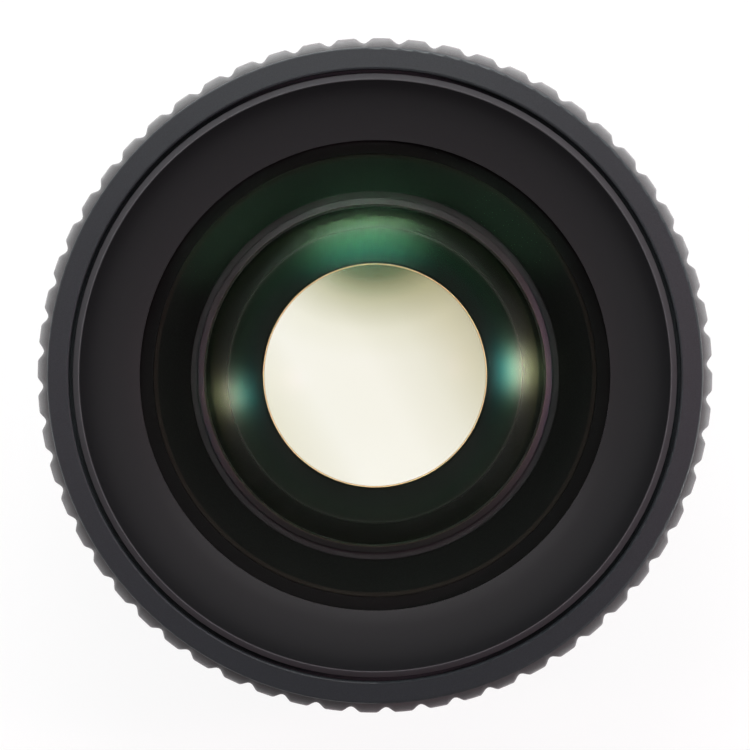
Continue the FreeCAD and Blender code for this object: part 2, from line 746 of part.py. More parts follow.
def make_rear_cell():
    keep("rear_cell", turned("rear_cell_turned", [
        (f"{LAST_RADIUS} + fit", CELL_BASE),
        (REAR_OUTER, CELL_BASE),
        (REAR_OUTER, f"{FLOOR_BASE} - 2"),
        (f"{ARM_INNER} - 0.4", f"{FLOOR_BASE} - 2"),
        (f"{ARM_INNER} - 0.4", FLOOR_BASE),
        (SPIGOT, FLOOR_BASE),
        (SPIGOT, f"{FLOOR_TOP} - 0.3"),
        (f"{REAR_BORE} - 0.95", f"{FLOOR_TOP} - 0.3"),
        (f"{REAR_BORE} - 0.95", FOURTH_FRONT),
        (REAR_BORE, FOURTH_FRONT),
        (REAR_BORE, f"{LAST_FRONT} + fit"),
        (f"{LAST_RADIUS} + fit", f"{LAST_FRONT} + fit"),
    ]))


def make_fourth_element():
    front = f"{FOURTH_FRONT} - film"
    front_edge = "(rear_radius - 1.2)"
    keep("fourth_element", turned("fourth_element_turned", [
        ("0", FOURTH_REAR),
        ("rear_radius", FOURTH_REAR),
        ("rear_radius", front),
        (front_edge, front, "-fourth_curve"),
        ("0", f"{front} - {sag('fourth_curve', front_edge)}"),
    ]))


def make_fifth_element():
    rear_edge = "(rear_radius - spacer_wall - 0.1)"
    keep("fifth_element", turned("fifth_element_turned", [
        ("0", f"{FIFTH_REAR} - {sag('fifth_curve', rear_edge)}", "fifth_curve"),
        (rear_edge, FIFTH_REAR),
        ("rear_radius", FIFTH_REAR),
        ("rear_radius", FIFTH_FRONT),
        ("0", FIFTH_FRONT),
    ]))


def make_rear_spacer():
    keep("rear_spacer", turned("rear_spacer_turned", [
        ("rear_radius - spacer_wall", SPACER_BASE),
        ("rear_radius", SPACER_BASE),
        ("rear_radius", SPACER_TOP),
        ("rear_radius - spacer_wall", SPACER_TOP),
    ]))


def make_rear_element():
    rear_edge = f"({LAST_RADIUS} - 0.8)"
    keep("rear_element", turned("rear_element_turned", [
        ("0", f"{LAST_REAR} - {sag('last_curve', rear_edge)}", "last_curve"),
        (rear_edge, LAST_REAR),
        (LAST_RADIUS, LAST_REAR),
        (LAST_RADIUS, LAST_FRONT),
        ("0", LAST_FRONT),
    ]))


def make_rear_retainer():
    keep("rear_retainer", turned("rear_retainer_turned", [
        (f"{LAST_RADIUS} - 1.4", LAST_RING_BASE),
        (LAST_RADIUS, LAST_RING_BASE),
        (LAST_RADIUS, LAST_RING_TOP),
        (f"{LAST_RADIUS} - 0.75", LAST_RING_TOP),
        (f"{LAST_RADIUS} - 1.4", f"{LAST_RING_BASE} + last_ring / 2"),
    ]))


def make_guide_keys():
    keys = [radial_block(f"{SKIRT_BORE} - {GUIDE_BORE} - 0.2 - fit", "key_width", "key_height",
                         f"{GUIDE_BORE} + 0.2", KEY_BASE, at) for at in around(KEYS, 30)]
    keep("guide_keys", fuse(keys))


# Iris drive

def pin_place(swing):
    """Where a blade's drive pin stands once the blade has swung, in degrees, about its pivot."""
    pivot = FreeCAD.Vector(value("pivot_circle"), 0, 0)
    rest = FreeCAD.Rotation(FreeCAD.Vector(0, 0, 1), value("pin_lead")).multVec(pivot)
    return pivot + FreeCAD.Rotation(FreeCAD.Vector(0, 0, 1), swing).multVec(rest - pivot)


def cam_slot(angle):
    """Arc slot that carries a drive pin: the pin's path as the ring sees it, widened."""
    places = []
    for share in (0.0, 0.5, 1.0):
        ring_turn = FreeCAD.Rotation(FreeCAD.Vector(0, 0, 1), angle - share * value("ring_swing"))
        places.append(ring_turn.multVec(pin_place(share * value("blade_swing"))))
    path = Part.Wire([Part.Arc(*places).toShape()])
    outline = path.makeOffset2D(value("pivot_radius + 2 * fit"), 0, False, False, False)
    slot = doc.addObject("Part::Feature", "CamSlot")
    slot.Shape = Part.Face(outline).extrude(FreeCAD.Vector(0, 0, value("cam_thick + 1")))
    slot.Placement.Base.z = value(f"{CAM_BASE} - 0.5")
    return slot


def make_cam_ring():
    ring = turned("cam_ring_turned", [
        ("cam_inner", CAM_BASE),
        (CAM_OUTER, CAM_BASE),
        (CAM_OUTER, CAM_TOP),
        ("cam_inner", CAM_TOP),
    ])
    keep("cam_ring", cut(ring, [cam_slot(at) for at in around(BLADES)]))


def make_drive_arm():
    arm = ring_sector(ARM_OUTER, ARM_INNER, f"{CAM_BASE} - {RING_BASE} - 0.1", f"{RING_BASE} + 0.1",
                      "arm_sweep", -value("arm_sweep / 2"))
    hole = radial_cylinder("drive_radius - 0.1", "arm_thick + 2.2", f"{ARM_INNER} - 1.4", PIN_LEVEL, 0)
    keep("drive_arm", cut(arm, [hole]))
    shank = radial_cylinder("drive_radius - 0.1", "arm_thick", f"{ARM_INNER} + 0.1", PIN_LEVEL, 0)
    pin = radial_cylinder("drive_radius", f"{RING_BORE} + 1.15 - {ARM_OUTER} - fit",
                          f"{ARM_OUTER} + fit", PIN_LEVEL, 0)
    keep("drive_pin", fuse([shank, pin]))


# Iris blades

def make_blade(number, angle):
    """Crescent blade with a heel that carries the pivot hole and a drive pin below."""
    level = f"({BLADE_BASE} + {number} * blade_step)"
    pin_base = f"({CAM_BASE} + 0.3)"
    band = ring_sector(BLADE_OUTER, BLADE_INNER, "blade_thick", level, "blade_sweep",
                       -value("blade_lead"))
    heel = ring_sector(HEEL_OUTER, f"{BLADE_OUTER} - 0.4", "blade_thick", level, "pin_lead + 8", -4)
    tip = cylinder("blade_width / 2", "blade_thick", level,
                   circle=f"{BLADE_INNER} + blade_width / 2", angle=value("blade_sweep - blade_lead"))
    pin = cylinder("pivot_radius", f"{level} - {pin_base} + blade_thick / 2", pin_base,
                   circle="pivot_circle", angle=value("pin_lead"))
    hole = cylinder("pivot_radius + fit", "blade_thick + 0.8", f"{level} - 0.4", circle="pivot_circle")
    blade = cut(fuse([band, heel, tip, pin]), [hole])
    blade.Placement.Rotation = FreeCAD.Rotation(FreeCAD.Vector(0, 0, 1), angle)
    keep(f"blade_{number + 1}", blade)


make_mount_ring()
make_mount_screws()
make_rear_barrel()
make_guide_tube()
make_rear_baffle()
make_index_ring()
make_sleeve_retainer()
make_focus_sleeve()
make_rubber_grip()
make_aperture_ring()
make_front_barrel()
make_name_ring()
make_front_cell()
make_front_element()
make_front_baffle()
make_second_retainer()
make_second_element()
make_third_element()
make_stop_plate()
make_blade_pivots()
make_iris_housing()
make_rear_cell()
make_fourth_element()
make_fifth_element()
make_rear_spacer()
make_rear_element()
make_rear_retainer()
make_guide_keys()
make_cam_ring()
make_drive_arm()
for blade_number, blade_angle in enumerate(around(BLADES)):
    make_blade(blade_number, blade_angle)
doc.recompute()

# Checks before anything is written
for item in doc.Objects:
    if "Invalid" in item.State or "Error" in item.State:
        raise RuntimeError(f"{item.Label} failed: {item.State}")
for name, piece in sub_parts.items():
    shape = piece.Shape
    if shape.isNull() or not shape.isValid():
        raise RuntimeError(f"{name} has no valid shape")

for name, piece in sub_parts.items():
    piece.Shape.exportStep(os.path.join("parts", f"{name}.step"))
    box = piece.Shape.optimalBoundingBox(False)
    print(f"{name}: {len(piece.Shape.Solids)} solids, {piece.Shape.Volume:.1f} mm3,"
          f" z {box.ZMin:.2f} to {box.ZMax:.2f}, radius {box.XMax:.2f}")
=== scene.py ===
# %% [markdown]
# # A camera lens seen from the front, in Blender
# The lens stands on its bayonet mount with its optical axis straight up, so the camera looks down
# on the front glass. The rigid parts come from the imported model, which is loaded first and never
# moved. This script gives them their finishes, remakes the pieces where light shows every facet,
# and adds the fine detail: scale figures, screw recesses and the rounded rubber ribs.

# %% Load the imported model
import json
import math

import bpy
import bmesh
from mathutils import Matrix, Vector

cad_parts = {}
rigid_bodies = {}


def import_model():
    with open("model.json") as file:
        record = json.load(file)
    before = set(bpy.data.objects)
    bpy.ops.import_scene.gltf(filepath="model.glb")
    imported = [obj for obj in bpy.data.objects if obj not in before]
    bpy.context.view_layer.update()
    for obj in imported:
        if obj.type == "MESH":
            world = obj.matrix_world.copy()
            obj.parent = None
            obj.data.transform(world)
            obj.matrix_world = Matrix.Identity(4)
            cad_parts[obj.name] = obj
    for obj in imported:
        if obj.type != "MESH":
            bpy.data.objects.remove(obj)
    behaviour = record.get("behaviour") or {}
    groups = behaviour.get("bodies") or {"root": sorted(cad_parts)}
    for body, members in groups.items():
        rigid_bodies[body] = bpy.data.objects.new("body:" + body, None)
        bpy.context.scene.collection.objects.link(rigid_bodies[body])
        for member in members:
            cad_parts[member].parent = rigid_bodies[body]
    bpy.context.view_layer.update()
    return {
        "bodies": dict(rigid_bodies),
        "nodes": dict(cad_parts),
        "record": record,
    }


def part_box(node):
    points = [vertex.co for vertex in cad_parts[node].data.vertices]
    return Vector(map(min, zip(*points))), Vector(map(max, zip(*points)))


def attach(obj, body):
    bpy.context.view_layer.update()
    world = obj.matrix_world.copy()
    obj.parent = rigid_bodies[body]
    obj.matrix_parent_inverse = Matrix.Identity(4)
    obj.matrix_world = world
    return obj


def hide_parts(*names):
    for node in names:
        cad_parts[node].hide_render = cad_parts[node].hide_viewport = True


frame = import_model()
MM = 0.001
bodies = frame["bodies"]
nodes = frame["nodes"]
bpy.context.scene.cycles.transparent_max_bounces = 24
print("bodies:", sorted(bodies))
print("nodes:", len(nodes))


# %% [markdown]
# Sizes that several pieces share are read from the model, so that a piece made here always meets
# its neighbour. A turned piece's outer radius and its two ends are all that the box has to give.

# %% Read shared sizes from the model
def ends(node):
    """Lower and upper end of a CAD piece along the optical axis, in millimetres."""
    low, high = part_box(node)
    return low.z / MM, high.z / MM


def outer_radius(node):
    """Outer radius of a turned CAD piece, in millimetres."""
    low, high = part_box(node)
    return (high.x - low.x) / 2 / MM


RIM_TOP = ends("front_barrel")[1]
RIM_RADIUS = outer_radius("front_barrel")
CREST_RADIUS = outer_radius("rubber_grip")
GRIP_BASE, GRIP_TOP = ends("rubber_grip")
NAME_BASE = ends("name_ring")[0]
NAME_RADIUS = outer_radius("name_ring")
print(f"rim {RIM_RADIUS:.2f} mm at {RIM_TOP:.2f} mm, grip {GRIP_BASE:.2f} to {GRIP_TOP:.2f} mm")


# %% [markdown]
# A finish is a small set of shader nodes. Most of the metal here is black anodised aluminium: a
# dark base whose brightness varies a little with the grain of the surface, and a roughness that
# varies too, so that no two reflections are the same. One helper makes a Principled shader with
# both kinds of variation; each finish then states only its own numbers.

# %% Helper for solid finishes
def new_finish(name):
    """Empty material with its output, ready for shader nodes."""
    finish = bpy.data.materials.new(name)
    finish.use_nodes = True
    tree = finish.node_tree
    tree.nodes.clear()
    output = tree.nodes.new("ShaderNodeOutputMaterial")
    return finish, tree, output


def object_point(tree, scale=(1.0, 1.0, 1.0)):
    """Surface position in object space, stretched by scale."""
    place = tree.nodes.new("ShaderNodeTexCoord")
    mapping = tree.nodes.new("ShaderNodeMapping")
    mapping.inputs["Scale"].default_value = scale
    tree.links.new(place.outputs["Object"], mapping.inputs["Vector"])
    return mapping.outputs["Vector"]


def grain(tree, size_mm, detail=4.0, stretch=(1.0, 1.0, 1.0)):
    """Noise whose features are about size_mm wide."""
    noise = tree.nodes.new("ShaderNodeTexNoise")
    noise.inputs["Scale"].default_value = 1 / (size_mm * MM)
    noise.inputs["Detail"].default_value = detail
    tree.links.new(object_point(tree, stretch), noise.inputs["Vector"])
    return noise.outputs["Fac"]


NOISE_SPAN = (0.3, 0.7)


def spread(tree, source, low, high, start=NOISE_SPAN[0], end=NOISE_SPAN[1]):
    """Map a pattern that runs from start to end onto a range of numbers. Noise seldom leaves its
    middle, so that is the span unless another is given."""
    node = tree.nodes.new("ShaderNodeMapRange")
    node.inputs["From Min"].default_value = start
    node.inputs["From Max"].default_value = end
    node.inputs["To Min"].default_value = low
    node.inputs["To Max"].default_value = high
    tree.links.new(source, node.inputs["Value"])
    return node.outputs["Result"]


def two_tone(tree, source, dark, light):
    """Blend two colours by a noise pattern."""
    ramp = tree.nodes.new("ShaderNodeValToRGB")
    for element, place, colour in zip(ramp.color_ramp.elements, NOISE_SPAN, (dark, light)):
        element.position = place
        element.color = (*colour, 1)
    tree.links.new(source, ramp.inputs["Fac"])
    return ramp.outputs["Color"]


def multiplied(tree, one, other):
    """Product of two colours."""
    product = tree.nodes.new("ShaderNodeMix")
    product.data_type = "RGBA"
    product.blend_type = "MULTIPLY"
    product.inputs["Factor"].default_value = 1.0
    tree.links.new(one, product.inputs[6])
    tree.links.new(other, product.inputs[7])
    return product.outputs[2]


def raise_grain(tree, shader, pattern, depth_mm):
    """Let the pattern stand out of the surface by depth_mm."""
    bump = tree.nodes.new("ShaderNodeBump")
    bump.inputs["Strength"].default_value = 1.0
    bump.inputs["Distance"].default_value = depth_mm * MM
    tree.links.new(pattern, bump.inputs["Height"])
    tree.links.new(bump.outputs["Normal"], shader.inputs["Normal"])


def solid_finish(name, dark, light, rough, size_mm, bump_mm=0.0, metallic=0.0, level=0.5,
                 stretch=(1.0, 1.0, 1.0)):
    """Opaque finish with grain in its colour, its roughness and, if asked, its surface."""
    finish, tree, output = new_finish(name)
    shader = tree.nodes.new("ShaderNodeBsdfPrincipled")
    pattern = grain(tree, size_mm, stretch=stretch)
    tree.links.new(two_tone(tree, pattern, dark, light), shader.inputs["Base Color"])
    tree.links.new(spread(tree, pattern, rough[0], rough[1]), shader.inputs["Roughness"])
    shader.inputs["Metallic"].default_value = metallic
    shader.inputs["Specular IOR Level"].default_value = level
    if bump_mm:
        raise_grain(tree, shader, pattern, bump_mm)
    tree.links.new(shader.outputs["BSDF"], output.inputs["Surface"])
    return finish


# %% [markdown]
# The outside metal is bead-blasted and anodised, so it scatters light with a soft highlight. The
# insides of the cells are flatter and blacker, because stray light there spoils a picture. The
# bright mount is turned steel: its tool marks run round the axis, so its grain is stretched.

# %% Metal finishes
barrel_black = solid_finish("barrel_black", (0.0118, 0.0146, 0.0162), (0.0190, 0.0232, 0.0255),
                            (0.42, 0.50), 0.12, bump_mm=0.004, level=0.15)
cell_black = solid_finish("cell_black", (0.0014, 0.0016, 0.0014), (0.0030, 0.0033, 0.0030),
                          (0.5, 0.65), 0.15, bump_mm=0.004, level=0.07)
baffle_black = solid_finish("baffle_black", (0.0016, 0.0018, 0.0016), (0.0034, 0.0037, 0.0034),
                            (0.55, 0.7), 0.2, bump_mm=0.006, level=0.07)
stop_black = solid_finish("stop_black", (0.0024, 0.0028, 0.0021), (0.0042, 0.0047, 0.0038),
                          (0.5, 0.65), 0.15, bump_mm=0.003, level=0.08)
blade_black = solid_finish("blade_black", (0.035, 0.036, 0.038), (0.06, 0.061, 0.064),
                           (0.38, 0.5), 0.3, metallic=0.8, stretch=(1.0, 6.0, 1.0))
mount_metal = solid_finish("mount_metal", (0.50, 0.49, 0.47), (0.62, 0.61, 0.59),
                           (0.22, 0.34), 0.4, bump_mm=0.002, metallic=1.0, stretch=(1.0, 1.0, 8.0))
screw_steel = solid_finish("screw_steel", (0.42, 0.41, 0.39), (0.55, 0.54, 0.52),
                           (0.25, 0.38), 0.2, metallic=1.0)
guide_metal = solid_finish("guide_metal", (0.36, 0.36, 0.36), (0.46, 0.46, 0.46),
                           (0.3, 0.42), 0.4, metallic=1.0, stretch=(1.0, 1.0, 8.0))
brass_plain = solid_finish("brass_plain", (0.50, 0.37, 0.15), (0.64, 0.48, 0.21),
                           (0.28, 0.4), 0.4, metallic=1.0, stretch=(1.0, 1.0, 8.0))
bead_red = solid_finish("bead_red", (0.55, 0.02, 0.015), (0.62, 0.03, 0.02), (0.15, 0.25), 0.3)
print("metal finishes made")


# %% [markdown]
# The name ring, the front baffle and the ring round the second element show their shape through
# their edges: the flat is black, and the turned bevels are painted paler, greyer or browner, a
# painted highlight for the light that they catch. A band finish does that by radius: it measures
# how far a point stands from the optical axis and blends between colours at given radii. The name
# ring's dish is painted darker towards its crest, a painted shade. Its shine changes with the
# radius too: the dish is matt, and the slope on its crest is shiny and painted pale, a painted
# highlight. The stop's edge is bare metal.

# %% Finishes that change with the distance from the optical axis
def axis_distance(tree):
    """Distance from the optical axis in millimetres, as a shader value."""
    place = tree.nodes.new("ShaderNodeTexCoord")
    flat = tree.nodes.new("ShaderNodeVectorMath")
    flat.operation = "MULTIPLY"
    flat.inputs[1].default_value = (1 / MM, 1 / MM, 0)
    tree.links.new(place.outputs["Object"], flat.inputs[0])
    length = tree.nodes.new("ShaderNodeVectorMath")
    length.operation = "LENGTH"
    tree.links.new(flat.outputs["Vector"], length.inputs[0])
    return length.outputs["Value"]


def ramp_of(tree, source, first, last, stops):
    """Colour by a number between first and last: stops are (number, colour)."""
    share = spread(tree, source, 0.0, 1.0, first, last)
    ramp = tree.nodes.new("ShaderNodeValToRGB")
    elements = ramp.color_ramp.elements
    while len(elements) < len(stops):
        elements.new(0.5)
    for element, (place, colour) in zip(elements, stops):
        element.position = (place - first) / (last - first)
        element.color = (*colour, 1)
    tree.links.new(share, ramp.inputs["Fac"])
    return ramp.outputs["Color"]


def radial_bands(tree, first, last, stops):
    """Colour by distance from the axis: stops are (radius in mm, colour)."""
    return ramp_of(tree, axis_distance(tree), first, last, stops)


def banded_finish(name, first, last, stops, rough, size_mm, bump_mm, level=0.5, shine=None):
    """Opaque finish whose colour depends on the distance from the axis, and its shine too where
    shine gives stops for it."""
    finish, tree, output = new_finish(name)
    shader = tree.nodes.new("ShaderNodeBsdfPrincipled")
    pattern = grain(tree, size_mm)
    mottled = multiplied(tree, radial_bands(tree, first, last, stops),
                         two_tone(tree, pattern, (0.8, 0.8, 0.8), (1.0, 1.0, 1.0)))
    tree.links.new(mottled, shader.inputs["Base Color"])
    tree.links.new(spread(tree, pattern, rough[0], rough[1]), shader.inputs["Roughness"])
    shader.inputs["Specular IOR Level"].default_value = level
    if shine:
        tree.links.new(radial_bands(tree, first, last, shine),
                       shader.inputs["Specular IOR Level"])
    raise_grain(tree, shader, pattern, bump_mm)
    tree.links.new(shader.outputs["BSDF"], output.inputs["Surface"])
    return finish


CREST_SLOPE = 0.52
CREST_EDGE = NAME_RADIUS - CREST_SLOPE
# Painted shade: the dish darkens towards the crest. Painted highlight: the crest slope is pale.
name_black = banded_finish("name_black", 20, 30, [
    (22.4, (0.0200, 0.0206, 0.0212)),
    (25.0, (0.0165, 0.0172, 0.0178)),
    (CREST_EDGE - 0.12, (0.0090, 0.0096, 0.0102)),
    (CREST_EDGE - 0.02, (0.066, 0.069, 0.072)),
    (29.0, (0.070, 0.073, 0.076)),
], (0.28, 0.30), 0.06, 0.0002, shine=[
    (22.4, (0.05, 0.05, 0.05)),
    (CREST_EDGE - 0.12, (0.08, 0.08, 0.08)),
    (CREST_EDGE - 0.02, (0.95, 0.95, 0.95)),
    (29.0, (0.95, 0.95, 0.95)),
])
# Painted highlight: the baffle's bevel is a paler brown band.
baffle_edged = banded_finish("baffle_edged", 15, 25, [
    (20.82, (0.0035, 0.0040, 0.0035)),
    (20.92, (0.011, 0.0095, 0.0075)),
    (21.3, (0.012, 0.010, 0.0080)),
], (0.5, 0.65), 0.2, 0.004, level=0.12)
# Painted highlight: a paler, warmer line along the inner edge of the ring's face.
retainer_grey = banded_finish("retainer_grey", 15, 20, [
    (16.50, (0.005, 0.0055, 0.0045)),
    (16.56, (0.018, 0.016, 0.010)),
    (16.62, (0.018, 0.016, 0.010)),
    (16.68, (0.0044, 0.0050, 0.0043)),
    (17.5, (0.0040, 0.0045, 0.0040)),
], (0.36, 0.42), 0.15, 0.003, level=0.34)
edge_gold, tree, output = new_finish("edge_gold")
worn = tree.nodes.new("ShaderNodeBsdfAnisotropic")
worn.inputs["Roughness"].default_value = 0.6
tree.links.new(two_tone(tree, grain(tree, 0.3), (0.85, 0.66, 0.34), (1.0, 0.84, 0.50)),
               worn.inputs["Color"])
tree.links.new(worn.outputs["BSDF"], output.inputs["Surface"])
print("banded finishes made")


# %% [markdown]
# The grip is moulded rubber with a dry, powdery skin. Coarse and fine grain together break up its
# highlight, and a little sheen brings up the pale bloom that rubber shows where light grazes it.
# The front shoulder is painted paler than the flanks, a painted highlight where grazing light
# catches the rib ends, and it is shinier too: the tone, the shine and the sheen all rise over the
# last two millimetres towards the front.

# %% Rubber finish
rubber_black, tree, output = new_finish("rubber_black")
shader = tree.nodes.new("ShaderNodeBsdfPrincipled")
powder = grain(tree, 0.10, detail=6.0)
bloom = grain(tree, 2.2, detail=3.0)
tone = multiplied(tree, two_tone(tree, powder, (0.027, 0.028, 0.029), (0.058, 0.059, 0.060)),
                  two_tone(tree, bloom, (0.8, 0.8, 0.8), (1.0, 1.0, 1.0)))
along = tree.nodes.new("ShaderNodeSeparateXYZ")
tree.links.new(object_point(tree), along.inputs[0])
SHOULDER = ((GRIP_TOP - 2.4) * MM, (GRIP_TOP - 1.2) * MM)
# Painted highlight: the front shoulder is paler than the flanks, which are darkened to about a third.
tone_with_painted_highlight = multiplied(tree, tone, spread(tree, along.outputs["Z"], 0.35, 1.0, *SHOULDER))
tree.links.new(tone_with_painted_highlight, shader.inputs["Base Color"])
tree.links.new(spread(tree, powder, 0.62, 0.8), shader.inputs["Roughness"])
tree.links.new(spread(tree, along.outputs["Z"], 0.2, 0.6, *SHOULDER),
               shader.inputs["Specular IOR Level"])
tree.links.new(spread(tree, along.outputs["Z"], 0.03, 0.25, *SHOULDER),
               shader.inputs["Sheen Weight"])
shader.inputs["Sheen Roughness"].default_value = 0.5
raise_grain(tree, shader, powder, 0.02)
tree.links.new(shader.outputs["BSDF"], output.inputs["Surface"])
print("rubber finish made")


# %% [markdown]
# Coated glass sends back only a percent or two of the light, and the coating decides its colour,
# which drifts from the middle of an element to its edge as the surface turns away from the viewer.
# A transparent shader carries what lies behind, a glossy one the reflection, and the share of the
# two is the coating's own reflectance. The second element also has a softer haze outside its bevel
# line, where its surface is less well polished. The glass doesn't bend light here: the radii in the
# model already stand where they are seen through the front glass.

# %% Helper for coated glass
def coated_glass(name, body_tint, stops, first, last, rough=0.13, haze=None, haze_rough=0.4):
    """Clear glass with a coating: stops give the colour that it sends back, by radius in mm, and
    haze the colour of a softer, wider reflection."""
    finish, tree, output = new_finish(name)
    clear = tree.nodes.new("ShaderNodeBsdfTransparent")
    clear.inputs["Color"].default_value = (*body_tint, 1)
    layers = [(stops, rough)] + ([(haze, haze_rough)] if haze else [])
    under = clear.outputs["BSDF"]
    for colours, softness in layers:
        gloss = tree.nodes.new("ShaderNodeBsdfAnisotropic")
        gloss.inputs["Roughness"].default_value = softness
        tree.links.new(radial_bands(tree, first, last, colours), gloss.inputs["Color"])
        both = tree.nodes.new("ShaderNodeAddShader")
        tree.links.new(under, both.inputs[0])
        tree.links.new(gloss.outputs["BSDF"], both.inputs[1])
        under = both.outputs["Shader"]
    tree.links.new(under, output.inputs["Surface"])
    return finish


front_glass = coated_glass("front_glass", (0.997, 0.998, 0.997), [
    (0, (0.0003, 0.0006, 0.0004)),
    (10, (0.0005, 0.0012, 0.0007)),
    (20.5, (0.0005, 0.0013, 0.0007)),
    (21.5, (0.0004, 0.0008, 0.0005)),
    (22.5, (0.0008, 0.0008, 0.0008)),
], 0, 25)
second_glass = coated_glass("second_glass", (0.997, 0.997, 0.992), [
    (0, (0.0010, 0.0020, 0.0015)),
    (10.9, (0.0026, 0.0075, 0.0050)),
    (12.0, (0.0020, 0.0120, 0.0075)),
    (13.4, (0.0050, 0.0180, 0.0090)),
    (14.3, (0.0070, 0.0150, 0.0085)),
    (15.8, (0.0035, 0.0060, 0.0026)),
], 0, 20, haze=[
    (14.10, (0.0, 0.0, 0.0)),
    (14.22, (0.0070, 0.0076, 0.0060)),
    (14.5, (0.0052, 0.0064, 0.0052)),
    (15.6, (0.0030, 0.0048, 0.0028)),
    (15.9, (0.0034, 0.0066, 0.0026)),
], rough=0.16)
inner_glass = coated_glass("inner_glass", (0.997, 0.996, 0.990), [
    (0, (0.0003, 0.0004, 0.0003)),
    (20, (0.0004, 0.0006, 0.0004)),
], 0, 25)
rear_glass = coated_glass("rear_glass", (0.998, 0.997, 0.994), [
    (0, (0.0005, 0.0004, 0.0007)),
    (20, (0.0006, 0.0005, 0.0010)),
], 0, 25)
print("glass finishes made")


# %% [markdown]
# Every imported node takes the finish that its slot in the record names. The front baffle, whose edge
# shows as a thin brown ring, and the second element, whose coating is its own, are the exceptions.

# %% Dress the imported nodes
FINISH_OF_SLOT = {
    "mount_metal": mount_metal,
    "screw_steel": screw_steel,
    "barrel_black": barrel_black,
    "name_black": name_black,
    "cell_black": cell_black,
    "retainer_grey": retainer_grey,
    "rubber_black": rubber_black,
    "baffle_black": baffle_black,
    "guide_metal": guide_metal,
    "brass_plain": brass_plain,
    "stop_black": stop_black,
    "blade_black": blade_black,
    "bead_red": bead_red,
    "front_glass": front_glass,
    "inner_glass": inner_glass,
    "rear_glass": rear_glass,
}
OWN_FINISH = {"front_baffle": baffle_edged, "second_element": second_glass}
for part in frame["record"]["subparts"]:
    node = nodes[part["node"]]
    finish = OWN_FINISH.get(part["node"], FINISH_OF_SLOT[part["material_slot"]])
    node.data.materials.clear()
    node.data.materials.append(finish)
print("finishes in use:", len({n.data.materials[0].name for n in nodes.values()}))


# %% [markdown]
# ## Turned pieces
# A lens is made almost wholly on a lathe, so one helper does most of the work: it spins a half
# section round the axis in many fine steps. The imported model's facets are fine enough for most of
# the metal, but a glass surface acts as a mirror and shows every one. So the two elements in sight
# are spun again here in more steps, and with them the ring and the fine edge that frame them.

# %% Helper that spins a half section
def on_circle(radius, turn, height):
    """Point in metres on a circle round the axis, from millimetres and an angle in radians."""
    return radius * MM * math.cos(turn), radius * MM * math.sin(turn), height * MM


def spin_piece(name, outline, body, finish, replaced=(), steps=256, sharp_deg=25):
    """Closed turned piece from (radius, height) points in millimetres, anticlockwise."""
    mesh = bpy.data.meshes.new(name)
    shape = bmesh.new()
    rings = []
    for radius, height in outline:
        if radius < 1e-6:
            rings.append([shape.verts.new((0, 0, height * MM))])
            continue
        ring = []
        for step in range(steps):
            turn = 2 * math.pi * step / steps
            ring.append(shape.verts.new(on_circle(radius, turn, height)))
        rings.append(ring)
    closed = zip(rings, rings[1:] + rings[:1])
    for lower, upper in closed:
        if len(lower) == 1 and len(upper) == 1:
            continue
        for step in range(steps):
            after = (step + 1) % steps
            corners = [lower[step % len(lower)], lower[after % len(lower)],
                       upper[after % len(upper)], upper[step % len(upper)]]
            distinct = list(dict.fromkeys(corners))
            shape.faces.new(distinct)
    bmesh.ops.recalc_face_normals(shape, faces=shape.faces)
    for face in shape.faces:
        face.smooth = True
    for edge in shape.edges:
        if len(edge.link_faces) == 2 and edge.calc_face_angle(0) > math.radians(sharp_deg):
            edge.smooth = False
    shape.to_mesh(mesh)
    shape.free()
    piece = bpy.data.objects.new(name, mesh)
    bpy.context.scene.collection.objects.link(piece)
    mesh.materials.append(finish)
    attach(piece, body)
    if replaced:
        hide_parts(*replaced)
    return piece


def arc_points(start, end, curve, count):
    """Points of a circular edge between two corners, without the corners. A curve above zero
    bulges to the right of the way from start to end."""
    first = Vector(start)
    last = Vector(end)
    along = last - first
    side = Vector((-along.y, along.x)).normalized()
    half = along.length / 2
    back = math.copysign(math.sqrt(curve * curve - half * half), curve)
    centre = (first + last) / 2 + side * back
    begin = math.atan2(first.y - centre.y, first.x - centre.x)
    finish = math.atan2(last.y - centre.y, last.x - centre.x)
    swing = (finish - begin + math.pi) % (2 * math.pi) - math.pi
    return [(centre.x + abs(curve) * math.cos(begin + swing * share / (count + 1)),
             centre.y + abs(curve) * math.sin(begin + swing * share / (count + 1)))
            for share in range(1, count + 1)]


# %% [markdown]
# ### The front glass and the second element
# Their surfaces are spheres. The outer radius and both ends come from the model, and the radius of
# each sphere is the one that takes the glass from the rim of its polished face to its top. The
# second element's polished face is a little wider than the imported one's, because the photograph
# shows its reflections out to the ring.

# %% Spin the two visible elements
def dome_radius(edge, rise):
    """Radius of the sphere that rises by rise over an edge radius."""
    return (edge * edge + rise * rise) / (2 * rise)


GLASS_EDGE = 22.5
SEAT_STEP = 0.6
REAR_BEVEL = 1.5
front_low, front_high = ends("front_element")
FRONT_RADIUS = outer_radius("front_element")
FRONT_LAND = NAME_BASE + SEAT_STEP
front_curve = dome_radius(GLASS_EDGE, front_high - FRONT_LAND)
REAR_EDGE = FRONT_RADIUS - REAR_BEVEL
REAR_CURVE = 190.0
rear_rise = REAR_CURVE - math.sqrt(REAR_CURVE ** 2 - REAR_EDGE ** 2)
front_outline = (
    [(0, front_low + rear_rise)]
    + arc_points((0, front_low + rear_rise), (REAR_EDGE, front_low), -REAR_CURVE, 20)
    + [(REAR_EDGE, front_low), (FRONT_RADIUS, front_low), (FRONT_RADIUS, FRONT_LAND),
       (GLASS_EDGE, FRONT_LAND)]
    + arc_points((GLASS_EDGE, FRONT_LAND), (0, front_high), front_curve, 40)
    + [(0, front_high)]
)
front_lens = spin_piece("front_lens", front_outline, "optical_block", front_glass,
                        ["front_element"])

